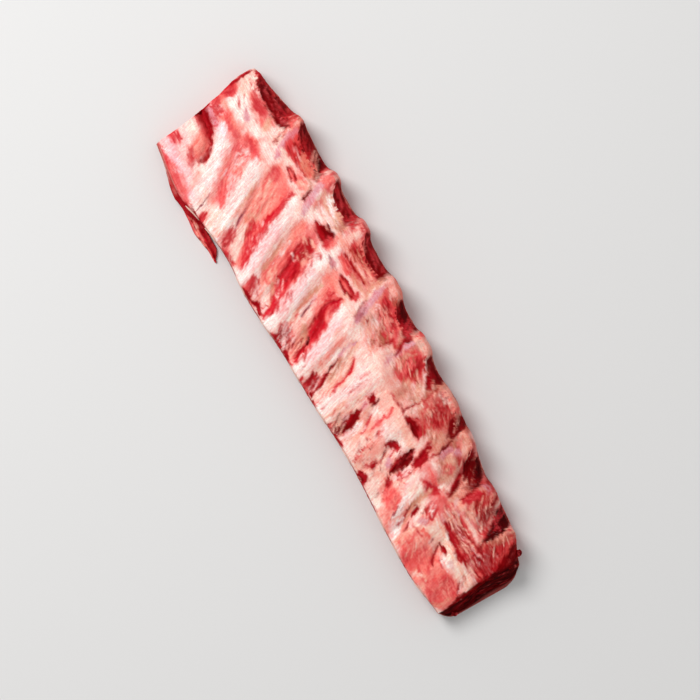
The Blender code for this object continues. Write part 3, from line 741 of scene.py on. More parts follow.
deepRed -33 -43 0.9 -26 -42.6 1.3 -18 -40.6 2 -12.5 -41 1 soft=0.8 ragged=1.4 relief=-0.3
softRed -11 -41.5 1 -8 -40 0.6 soft=0.8
# The fifth rib, its neck and head.
whiteFat -24 10 2.4 -20 4 4.6 -15 -3 5 -9 -14 4.4 -6 -26 4.6 -3 -40 5 soft=1.6 relief=0.3
pinkFat 24*12*0.55 -18 0 4 -4 -38 4
peach 6*9*0.35 -14 3 3 -9 -10 3
creamFat -28 50 2.4 -25 42 2.6 -24 32 2.4 soft=1.6
tan 16*9*0.4 -29 44 2 -24 28 3 grain=-68
peach -26 50 2 -19 49 4 -12 49.5 2.4 soft=1.8
creamFat 20*8*0.5 -27 50 2 -14 46 4 grain=-10
lilac -23.5 41 1.6 -20.5 33 2.4 -17 24 2.6 -12.5 15 2.2 soft=1.5
purple -22.5 28 0.4 -19 20 0.7 -15 14.5 0.6 soft=1 cover=0.7
purple 10*6*0.3 -18 24 2 -12 14 2 grain=-56
deepRed -11 19.8 0.3 -8.5 21 0.7 -7.5 20 0.4 soft=0.5
# The striated window beside the fifth head, and what lies below it.
softRed -18 40 1 -12 38.5 2.6 -4 36.6 4.6 4 35.6 4 8.5 34.5 1.6 soft=1.1 grain=-3 relief=-0.4
red -15 38 1.4 -5 36.5 2.6 4 35.5 2 soft=1.6 grain=-3
deepRed 26*9*0.4 -12 38 2.4 6 35 3.6 grain=-4 spread=5
salmon 16*8*0.4 -14 36 3 6 34 4 grain=-3 spread=5
pinkFat 12*2*0.5 -15 33 1.4 -12 31 1.4 grain=40
red -11 30.6 0.4 0 30.4 0.5 6 30.6 0.3 soft=0.6 cover=0.8
dark -9 49 0.8 -5 47 3 2 46 5 9 45.6 6 14 43 4.4 17.6 37.6 1.8 soft=0.9 relief=-0.6 ragged=1.4
black -7 48 1 0 46.6 3 6 45 3 soft=1.8 cover=0.75
red 24*8*0.45 3 47 3 15 41 3 grain=-52 spread=8
deepRed 14*9*0.45 -6 43 1.4 14 38 1.6 grain=-26
peach 8*9*0.4 8 38 1 17 32 1.4 grain=-38
tanDark 2 23 1.6 6 23.6 3 9 22.4 2 soft=1.6 ragged=1.5
red 2 25.4 0.5 7 26.6 1.2 12 29.4 1.6 19 30 0.8 soft=0.8
deepRed 12.4 28.6 0.7 11.4 24 0.9 10.8 20 0.5 soft=0.5 relief=-0.6 ragged=0.5
creamFat 14 25.6 1.8 17 23.6 2.4 15 20 2 soft=1 relief=0.3
coral 14*6*0.35 0 17 4 12 15 4 grain=-36
peach 26*9*0.5 -8 20 6 12 16 6 grain=-30
tanDark 10*5*0.35 3 19 2 8 17 2 grain=-45
# The tan membrane between the fifth and the sixth rib, and the sixth rib.
tan 1 6 2.4 4 -2 4.4 9 -8 6 13 -16 5.6 17 -23 3 soft=2.2 cover=0.75 relief=-0.3
peach 10 -2 3 15 -12 4 18 -24 3 soft=2.6 cover=0.6
salmon -7.5 3 0.5 -4 -6 1.2 -1.5 -14 1.3 1 -22 1
lilac 0 6 0.8 1 -1 1.4 3 -8 1.4
tanDark 18*9*0.35 4 -4 3 14 -22 5 grain=-56
creamFat 20*10*0.4 4 0 4 16 -22 5 grain=-54
dark 4 -10.4 0.3 5.4 -13.6 0.7 7.6 -18 0.8 10 -22.4 0.7 soft=0.5 relief=-0.6 ragged=0.4
deepRed 9 -22 1.2 11.6 -26 1.5 14.4 -31 1.1 16 -37 0.7 soft=0.8 relief=-0.3
red 5 -31 0.8 7.4 -34 2 9 -39 2 soft=0.8 grain=-62 relief=-0.3
softRed 8.6 -28 1.2 11.6 -33 2 13 -39 1.6 soft=0.8 grain=-68
deepRed 24*8*0.4 6 -31 1.6 11 -38 4 grain=-64 spread=5
pinkFat 22*8*0.35 8 -29 1.6 13 -38 3 grain=-68 spread=5
red 2.8 -38 0.4 4.6 -40.4 1 14 -41 0.8 22 -40.4 1 25 -39.4 0.5 soft=0.7
deepRed 16.5 -38.4 1.4 19 -38.6 1 22 -39.6 0.7 soft=0.6
creamFat 16*9*0.4 16 -26 1.6 21 -38 2 grain=-72
coral 12*4*0.4 19 -26 2 24 -38 2 grain=-60
brightRed 9 0.6 0.2 12 -2 0.4 15 -5.4 0.7 17.6 -11 0.6 19.4 -17 0.5 21.4 -22 0.9 24 -25 0.4
 soft=0.45 relief=-0.5 ragged=0.4
creamFat 20 12 5 26 2 7 29 -10 8 31 -24 8 33 -38 8 soft=2.5
whiteFat 24 -2 3 27 -14 4 27 -27 4 29 -38 5 soft=2.4 relief=0.3
pinkFat 40*14*0.55 24 4 6 33 -36 7 grain=-82
peach 14*14*0.5 33 -10 4 38 -34 4 grain=-84
softRed 7*8*0.3 24 5 2 28 -16 2 grain=-84 spread=4
coral 6*5*0.35 33 2 2 38 -6 2 grain=-75
# The sixth rib's head and neck.
creamFat 16 48 2 26 47 4.4 36 44 2.4 soft=2
peach 26 48 3 32 46 2 soft=2.4 cover=0.6
peach 18*7*0.5 17 46 3 34 45 4 grain=-30
coral 17.4 49 1.2 19 50.4 0.8 soft=0.8 ragged=1.2
red 16.6 49.6 0.3 17.6 47.8 0.4 19.2 49 0.3 soft=0.4
deepRed 5*2*0.5 33.6 43.4 1 36 42 1 grain=-50
lilac 20 41 1.6 20 34 1.6 22 27 1.4 soft=1.4
deepRed 15.6 36 0.6 18 33 0.8 21 29.6 0.7 21.8 25.6 0.4 soft=0.6 relief=-0.4
lilac 8*6*0.35 21 22 2 24 18 2 grain=-50
# The round red muscle and its pale wrap.
softRed 31 37 5 34 31 8 34 24 5 soft=1.6 relief=-0.5 grain=-20
red 29 36 3 36 34 4 38 27 4 soft=3 grain=-20 cover=0.85
deepRed 33 40 1 38.6 34.6 1.2 41 29 1 soft=1.4 cover=0.7
deepRed 26*5*0.45 30 36 5 37 28 6 grain=-30 spread=24
coral 30*4*0.5 28 35 4 34 25 6 grain=-20 spread=24
tan 12*5*0.4 26 38 2 27 24 2 grain=60
tan 43 24 3 47 17 4.6 44 13 3 soft=3 cover=0.8
tanDark 45 21 1.6 47 16 1.6 soft=2.4 cover=0.4
creamFat 37 41.6 1 42 39 1.8 48 34 2.8 53 29 3.4 52 20 3 soft=1.4 relief=0.4
tan 16*9*0.4 44 37 2 55 22 3 grain=-36
whiteFat 12*8*0.4 38 41 1 52 31 2 grain=-36
dark 37.6 45.4 1.2 43 43.6 3.2 49 44.4 3.6 51.6 45.6 2 soft=0.9 relief=-0.5 ragged=1.8
deepRed 42 42 1.6 48 38 1.8 51.6 35 1.2 soft=0.9 ragged=1.8 grain=-36
peach 22*8*0.4 40 44 2 51 38 4 grain=-40
dark 22*6*0.45 41 44 2 54 38 4 grain=-46
tan 55 44 2 57 36 1.4 soft=1.6 cover=0.8
# The torn spots and the striated muscle between the sixth and the seventh rib.
peach 40 6 6 50 4 6 soft=4 cover=0.5
red 12*6*0.35 42 11 0.8 60 11.2 0.8 grain=2 spread=5
deepRed 6*5*0.4 50 12.6 0.8 60 11 0.8 grain=-8 spread=5
deepRed 37.6 -3.4 0.8 39.6 -2.4 1.8 41.6 -4 1.4 soft=0.8 relief=-0.5 ragged=1.4
dark 43 0.8 0.4 44 -2.6 0.8 44.8 -6 0.6 soft=0.5 relief=-0.4
lilac 41 -9 1.6 43 -12 1.6 soft=1.8 cover=0.8
tan 45 -8 2 47 -13 2 soft=2.2 cover=0.6
deepRed 43 -14 1 44.6 -19 2.2 46.4 -25 3.2 46.6 -33 4.2 44.6 -38.6 4.2 soft=0.8 ragged=1.2
 grain=-76 relief=-0.4
dark 43.4 -16 0.7 46 -21 1.2 48.6 -27 1.2 50.6 -33 0.6 soft=0.7 cover=0.85
softRed 30*7*0.5 41.6 -31 2 44 -38 3.6 grain=-76 spread=4
pinkFat 30*7*0.35 42 -26 1.4 47 -37 4 grain=-76 spread=4
dark 16*8*0.35 46 -26 3 47 -38 4 grain=-76 spread=4
tan 26*10*0.35 52 -20 2 55 -34 4 grain=-74 spread=4
whiteFat 22*10*0.45 51 -18 2 55 -34 4 grain=-74 spread=4
deepRed 50 -39 0.6 54 -37.6 1.1 59 -37 0.8 soft=0.7 ragged=1.2
softRed 52.6 6 0.5 55 3 0.9 56.6 -1 0.5 soft=0.6 ragged=0.8
softRed 54.6 -2 0.9 56.4 -7 1.1 58.6 -13 0.7 59.4 -16 0.3 soft=0.6 ragged=0.6
red 49.6 -9 0.2 52 -12.4 0.5 55.6 -17 1 58.2 -22 0.7 soft=0.6 relief=-0.4 ragged=0.5
pinkFat 54.6 -16.6 0.5 56.4 -20 0.5 soft=0.5
pinkFat 62 -5 2.2 65 -12 3 soft=2.4
softRed 16*3*0.35 61 -6 2 66 -14 3 grain=-60 spread=20
creamFat 63 -22 4 66 -34 5 soft=3
# The fold beside the seventh rib's head, and the head.
red 55 43 0.4 57.4 37 0.6 57.8 28 0.5 58.2 19 0.6 58.4 12 0.5 soft=0.7 relief=-0.5 ragged=0.8
peach 62 44 3 70 44 3.4 76 44 2.4 soft=2.4 cover=0.9
creamFat 62 40 2 68 42 2 soft=2
coral 22*4*0.4 61 44 3 77 42 4 grain=-20 spread=30
deepRed 64 47.6 0.4 69 47.4 0.5 soft=0.5
softRed 71 35 3 74 30 4.6 73 24 4 soft=2 ragged=2.6 grain=-10
deepRed 38*4*0.45 70 35 4 75 25 5 grain=-12 spread=25
peach 34*4*0.45 63 32 4 75 26 6 grain=-15 spread=25
softRed 22*3*0.45 62 30 3 66 22 4 grain=-20 spread=30
creamFat 61 24 1.6 60.6 15 1.4 soft=1.4
red 66 12.6 1.6 71 15 3.4 77 14.6 3.6 soft=1.1 ragged=1.6 relief=-0.5 grain=10
deepRed 64 11.6 1 69 13 2.2 75 12.4 2.2 79 11.6 1 relief=-0.6 grain=4
dark 67 11.6 0.5 73 11.4 0.9 78 11 0.4 soft=0.7
red 12*6*0.4 74 18 2 82 13 2 grain=-42
coral 10*5*0.4 66 16 2 72 18 2 grain=30
creamFat 18*6*0.45 81 20 2 84 12 2 grain=-50 spread=14
# The pale flat fat, the dark pockets and the near-black groove before the eighth rib.
peach 62 6.4 1.6 72 5.4 2.6 83 5 2.2 soft=2.6 cover=0.7
creamFat 64 1 3 72 -1 2.4 soft=2.4 cover=0.8
salmon 68 -12 2 71 -17 3.4 70 -22 2 soft=2.6 cover=0.6
deepRed 73 -9.4 1.2 75 -6.4 2.4 78.6 -4.4 1.6 soft=0.7 relief=-0.8 ragged=0.8
pinkFat 78 -8.4 1 79.4 -11.6 0.8 soft=0.8
deepRed 75.4 -11.4 0.4 77.6 -14.6 0.7 80.4 -18 0.7 82 -20 0.5 soft=0.5 relief=-0.4 ragged=0.7
red 79.6 -4 0.4 80.4 -9 0.5 83 -14 0.4 soft=0.5
deepRed 83.4 -6 0.3 86 -10.4 0.6 88.6 -15 0.5 soft=0.5
lilac 83 -13 1.6 86 -16 1.8 soft=1.6
deepRed 80 -21.6 0.5 84.6 -21.6 0.5 87.4 -25.6 0.5 87.8 -31.6 0.7 87 -35 0.4 soft=0.5 relief=-0.3
 ragged=0.8
deepRed 80 -23 0.8 81.4 -26.4 1.8 80 -28.6 0.5 soft=0.6 ragged=1.2 relief=-0.4
red 12*5*0.4 78 -22 1.4 79 -30 1.6 grain=-70 spread=16
creamFat 84.6 -26 1 85.6 -31 1.2 soft=0.8
red 34*2*0.5 66 -26 2 74 -34 4 grain=20 spread=60
coral 26*2.4*0.45 64 -18 3 74 -32 5 grain=-30 spread=60
peach 24*4*0.5 72 -26 3 78 -36 4 grain=-60 spread=20
deepRed 81 -36.4 1.6 85 -34.6 1.8 88 -37 1.2 soft=0.8 ragged=2
dark 12*3*0.5 80 -37 2 88 -37 2 grain=10 spread=40
red 26*5*0.4 62 -39 0.7 110 -39 0.8 grain=-2 spread=6
red 86 20 0.8 89.6 14 1.6 93.4 8 2.6 94.4 1 2.4 ragged=2 relief=-0.4
deepRed 91 10 1 94 3 1.4 96 10 0.8 cover=0.8
deepRed 22*5*0.45 87 18 1.6 95 2 3 grain=-64 spread=14
peach 14*6*0.4 87 22 2 93 8 3 grain=-62
dark 85.8 3.6 0.6 87.8 0 1.5 90 -5 2.5 91.4 -11 1.9 91 -16 1.1 soft=0.7 relief=-1 ragged=0.9
pinkFat 96 -5 2 96.6 -10 2.6 96 -16 2.4 soft=1.6
red 30*3*0.4 98 -2 2 97 -16 3 grain=-70 spread=30
deepRed 94.4 -12 0.7 95.4 -13.6 0.7 soft=0.5 relief=-0.5
softRed 93.6 -11 0.3 95.6 -10.6 0.3 96.8 -13 0.3 95 -15 0.3 soft=0.5
red 93 -21 0.8 97 -22.4 1.4 99 -25 0.8 soft=0.8 ragged=2
deepRed 14*4*0.4 92 -20 1.4 99 -25 2 grain=-32
creamFat 92 -28 3 94 -35 4 soft=2
# The eighth rib's head, with the dark chine meat before it.
dark 83 46 1.4 86.6 42 3 89 35.4 2.6 89.6 31 1 soft=0.9 relief=-0.5 ragged=1.6
peach 18*7*0.4 79 42 3 88 34 3 grain=-44
dark 16*6*0.45 76 41 2 88 34 3 grain=-42
dark 93.4 29 0.4 94.8 24 0.8 95 20.6 0.4 soft=0.6 relief=-0.4
red 94.6 19 0.6 96 12 0.7 soft=0.7 ragged=1.2
tan 24*5*0.45 84 28 3 91 20 4 grain=-30 spread=25
peach 93 40 2.4 99 38 4 104 34 3 soft=2
tan 18*6*0.45 92 42 2 106 38 4 grain=-20
coral 10*4*0.4 92 38 3 97 33 3 grain=-40
lilac 102 31 2.4 98.6 26 3.4 99 20 2.4 soft=2
peach 104 24 3 108 20 4.6 soft=2.4 cover=0.9
# The red wedge and the eighth rib.
coral 104 7 1 109 6.6 2 113 6 1.2 soft=1.4 ragged=1.6
red 105.4 -0.8 0.3 110 0.8 1.2 115 2.2 2.4 118 3.4 2.6 soft=0.9 relief=-0.5
creamFat 104 -4 4 108 -11 6 104 -16 4 soft=3
whiteFat 111 -6 3 114 -14 3 soft=2.4
pinkFat 18*8*0.5 102 -4 4 112 -16 5 grain=-50
coral 8*4*0.4 103 -12 2 107 -17 2 grain=50
coral 105 -23.6 4.2 109.6 -26 5.4 112 -29 3 soft=2 ragged=1.8 relief=0.4
salmon 20*6*0.5 103 -22 3 112 -29 5 grain=-36 spread=18
softRed 14*5*0.5 103 -23 3 112 -30 5 grain=-30 spread=18
creamFat 98 -33 4 106 -36 3.6 116 -37 3 soft=2.4
salmon 112 -36 2.4 120 -35.6 2.6 soft=2.4 cover=0.7
whiteFat 111.6 -17 1.4 115.4 -23 2 119.6 -31 1.6 soft=0.8 relief=0.4
purple 114.6 -25.4 0.2 117 -28.4 0.4 119.4 -32 0.3 soft=0.5
# From the eighth rib to the narrow end.
tan 115.6 1 1.4 117 -8 2 119 -15 2.4 123 -23 1.6 127 -31 1.4 cover=0.95
peach 10*8*0.35 117 -6 1.6 124 -24 2
whiteFat 121 -6 2 124 -13 2.4 128 -18 2 soft=1.6
dark 115.4 -12 0.3 117 -15.6 0.6 120 -20 0.4 soft=0.5 relief=-0.3 ragged=0.6
deepRed 120 -20 0.4 123.4 -25.6 0.6 126 -31 0.9 128.4 -37 0.5 soft=0.5 relief=-0.4 ragged=0.6
deepRed 121.6 -11 0.3 123.4 -15 0.9 125.6 -19.6 0.8 soft=0.6 relief=-0.4 ragged=0.8
deepRed 128 -24 0.4 130.4 -27 1 133 -31 0.5 soft=0.6 relief=-0.4 ragged=0.9
pinkFat 123 -34 2 130 -37 3 soft=2
whiteFat 20*7*0.4 122 -28 2 132 -36 4 grain=-58
# The striated dark meat between the eighth and the ninth head.
tanDark 113 38 3 119 32 5 124 24 4 127 16 3 soft=2 relief=-0.4
deepRed 107 39 1.4 111 36 2.4 117 29 2.2 121 22 1.8 124 15 1.8 125 11 0.9 soft=0.9 ragged=1.8
 relief=-0.5
black 119.6 42 1.4 123 37 2 127 31 2 129 25 1 soft=0.8 relief=-0.7 ragged=1.2
dark 117 31 0.8 122.6 26.6 1.2 126 20.6 1.2 125 13 1.4 soft=0.7 relief=-0.4 ragged=1.2
peach 26*10*0.4 114 38 3 127 18 4 grain=-58 spread=8
creamFat 116.6 41 0.3 119.6 35 0.5 124.6 29 0.6 129 21 0.5 soft=0.5 relief=0.4
deepRed 12*4*0.45 127 40 2 134 38 2 grain=-40 spread=25
creamFat 118 19 1.6 121 14 1.8 118 9 3 soft=1.4
tan 127 14 2 130 9 2.4 soft=1.6 cover=0.8
# The ninth rib's head and what lies beside it.
peach 133 32 3 132 20 3.4 136 14 3 soft=1.6
red 135.4 29 2.2 134.2 24 3.1 133 19 2 soft=0.8 relief=0.3 ragged=0.7 grain=75
lilac 132 35 1.4 135.6 36.6 1.6 138.4 34 1
coral 140 36 3 146 33 3.6 152 22 4 soft=2.2 cover=0.7
red 30*7*0.45 139 38 3 149 31 4 grain=-48 spread=12
peach 26*7*0.45 140 38 3 150 28 5 grain=-48 spread=12
deepRed 142 39 0.6 146 33.6 0.6 150 29 0.4 soft=0.6
creamFat 147 39 0.8 150 34 1.2 155 26 1 soft=0.8
tanDark 141 24 2 147 21 3 143 16 3 soft=2.4 cover=0.9
red 30*6*0.45 140 23 3 158 20 4 grain=4 spread=10
creamFat 24*6*0.45 144 25 3 158 20 5 grain=-12 spread=22
peach 22*8*0.45 138 19 4 158 14 3 grain=0
creamFat 146 12.4 1.2 156 12.6 1.4 164 11.4 0.8
# The dark meat before the tenth rib, and the tenth rib.
dark 150 39 1 154 33 1.8 159 27 1.4 162 21 1 soft=0.8 ragged=1.6 relief=-0.4
black 157 40 1.4 160.6 36 3.2 163.4 30 2.6 164.6 23 1.5 166 15 0.9 soft=0.8 relief=-0.8
black 20*7*0.4 152 38 2 162 20 2 grain=-60 spread=8
deepRed 165.6 14 1 167.6 9 0.8 169.6 4 0.6 soft=0.9 cover=0.8
tan 170 35 2.6 169.4 28 3.2 168.6 20 2.6 169 14 2 soft=1.3 relief=0.4
tanDark 171 30 1.2 170.6 22 1.4 soft=1.6 cover=0.7
peach 168 33 0.8 167.6 24 0.8 soft=1 cover=0.9
peach 12*4*0.45 165.6 35 1 171 34 2 grain=60 spread=30
red 8*3*0.45 166 36 1 172 35 1 grain=50 spread=30
# The striated red meat along the middle, up to the narrow end.
softRed 175 33 2 176 26 3 178 20 4 soft=1.5 ragged=1.6
softRed 132 8 1.4 142 7.6 3 152 6.6 3.4 162 5 3.6 168 4 3.4 soft=1.4 grain=0 ragged=1.6
red 143 -2.4 1 152 -1 1.6 162 0.6 2 168 -2.6 2 grain=-2 ragged=1.4
deepRed 142 -2.8 0.6 150 -2.4 0.9 156 -1 0.6 soft=0.8 grain=4
deepRed 162 -4 0.8 168 -3.6 1.2 174 -2.6 0.8 soft=0.8 grain=10
red 173 16 4 178 10 6 183 5 5 187 2 3 grain=8 ragged=1.2
deepRed 44*9*0.4 173 18 4 186 2 6 grain=8 spread=6
coral 40*8*0.4 173 18 4 186 2 6 grain=10 spread=8
pinkFat 18*6*0.3 174 16 4 186 4 6 grain=14 spread=8
deepRed 40*11*0.4 136 6 4 168 2 5 grain=-2 spread=5
peach 40*11*0.4 134 5 4 168 3 6 grain=0 spread=5
pinkFat 134 3.4 0.3 142 4.6 0.6 152 4.4 0.4 160 6 0.5 soft=0.4 ragged=0.3 relief=0.3
pinkFat 160 6.4 0.3 168 6.2 0.6 176 9 0.5 184 9.4 0.2 soft=0.4 ragged=0.3 relief=0.3
pinkFat 136 9.6 0.4 142 9.4 0.3 soft=0.4 ragged=0.3 relief=0.3
pinkFat 146 0 0.2 152 2.8 0.4 158 4 0.2 soft=0.4 ragged=0.3 relief=0.3
pinkFat 168 3 0.2 176 5 0.4 186 6 0.2 soft=0.4 ragged=0.3 relief=0.3
creamFat 134 -6 3 143 -6.6 2.8 153 -7 3.4 160 -9 2 soft=1.8
whiteFat 150 -5.6 2 156 -7.6 2 164 -9.6 3 168 -13 2.6 160 -11 1.4 soft=1.4 relief=0.3
creamFat 174 -8 2.4 181 -6 3.4 186 -8 3 178 -12 2 soft=1.8
whiteFat 20*7*0.45 172 -8 3 187 -6 4 grain=-10
peach 30*8*0.45 136 -6 3 186 -8 3 grain=-6
lilac 166 -12 2 170 -13 1.4 soft=1.6 cover=0.6
softRed 125.4 -3 0.8 129 -6 3 131 -11 2.6 soft=1.4 ragged=2.4
red 129.6 -3 0.9 131.6 -6.4 1.6 132 -9 0.8 soft=0.9 ragged=1.2
deepRed 18*3*0.4 124 -2 1.4 128 -12 2.6 grain=-70 spread=30
pinkFat 22*3*0.4 126 -3 2 132 -14 3 grain=-60 spread=30
lilac 132 -13 2.2 131 -16 1.6 soft=1.8
# The hole with a dark rim, and the salmon-red meat on the belly side.
salmon 143 -24 4 152 -26 6 165 -26 7 180 -24 7 soft=2
coral 142 -30 4 148 -31 7.6 157 -33 6 soft=2.4 ragged=1.8 relief=0.5
salmon 162 -30 3 163 -37 3 soft=3
coral 168 -30 4 175 -30 6 184 -31 6 soft=2.6 ragged=1.8 relief=0.3
softRed 174 -20 3 180 -20.6 4 186 -21.6 2.4 soft=2.2 ragged=1.6
softRed 178 -32 2 184 -35.4 2.6 187 -33 1.6 soft=2 ragged=1.6
softRed 146 -37 2.4 150 -39 2 soft=2.4 cover=0.8
softRed 158 -21.6 0.8 160.6 -24 1.8 165 -27 1.2 soft=1.8
peach 160 -36 2 166 -33 2.4 172 -38 2 soft=2.4
creamFat 163 -33.6 1 160.6 -38.6 1.4 soft=2 cover=0.8
tan 187.6 -24 1.2 189 -32 1.6 186 -37.4 1.4 soft=1.8 cover=0.7
peach 178 -24.6 0.6 184 -26 0.8 soft=1.4
salmon 50*7*0.6 144 -24 5 186 -28 9 grain=-20 spread=40
softRed 40*6*0.6 142 -26 5 186 -30 9 grain=-25 spread=40
peach 12*7*0.4 140 -22 3 146 -36 4 grain=-60 spread=25
peach 136 -18 1.6 134 -27 3 136 -36 3 soft=2
coral 20*6*0.45 136 -18 2 138 -36 3 grain=-20 spread=30
red 7*5*0.35 131 -21 1 142 -20 1 grain=8
coral 137 -17.6 0.8 143 -16.4 1 soft=0.8 ragged=1.4
purple 6*2.4*0.4 146.6 -14 0.8 147.8 -18 0.8 grain=-70
salmon 156 -15 1 158.6 -18 1.2 soft=1 cover=0.8
deepRed 151.6 -11.8 0.5 154.6 -11.6 1 158.6 -12 0.9 160.8 -14.6 0.6 161 -18 0.4 soft=0.6
 relief=-0.5 ragged=0.6
deepRed 152.4 -14 0.4 154.6 -17.6 0.7 157.4 -20.6 1 161.4 -23.6 0.6 soft=0.6 relief=-0.4
 ragged=0.7
brightRed 8*3*0.45 162 -18.4 0.7 169 -18.4 0.7 grain=0
whiteFat 12*4*0.45 160 -15 2 172 -17 2 grain=-10
deepRed 24*5*0.4 181 -9 1.6 188 -18 2.4 grain=-40 spread=16
pinkFat 12*4*0.4 182 -10 2 188 -18 2 grain=-40 spread=16
# The strands at the narrow corner.
deepRed 180 24 0.8 184 20 1.2 187 14 0.8 soft=0.8 ragged=1.4
dark 26*6*0.45 178 32 2 189 20 3 grain=-36 spread=14
dark 183 34 0.8 188 31.4 1.4 192 29 1.6 soft=0.8
dark 191.6 24 1.6 190.8 10 1.6 190.8 -6 1.6 192 -20 1.2 194.4 -32 1 soft=0.5 ragged=0.6
# The soft salmon edge along the belly.
coral 60*5*0.35 -60 -44 1 180 -40.5 1 grain=2 spread=8"""

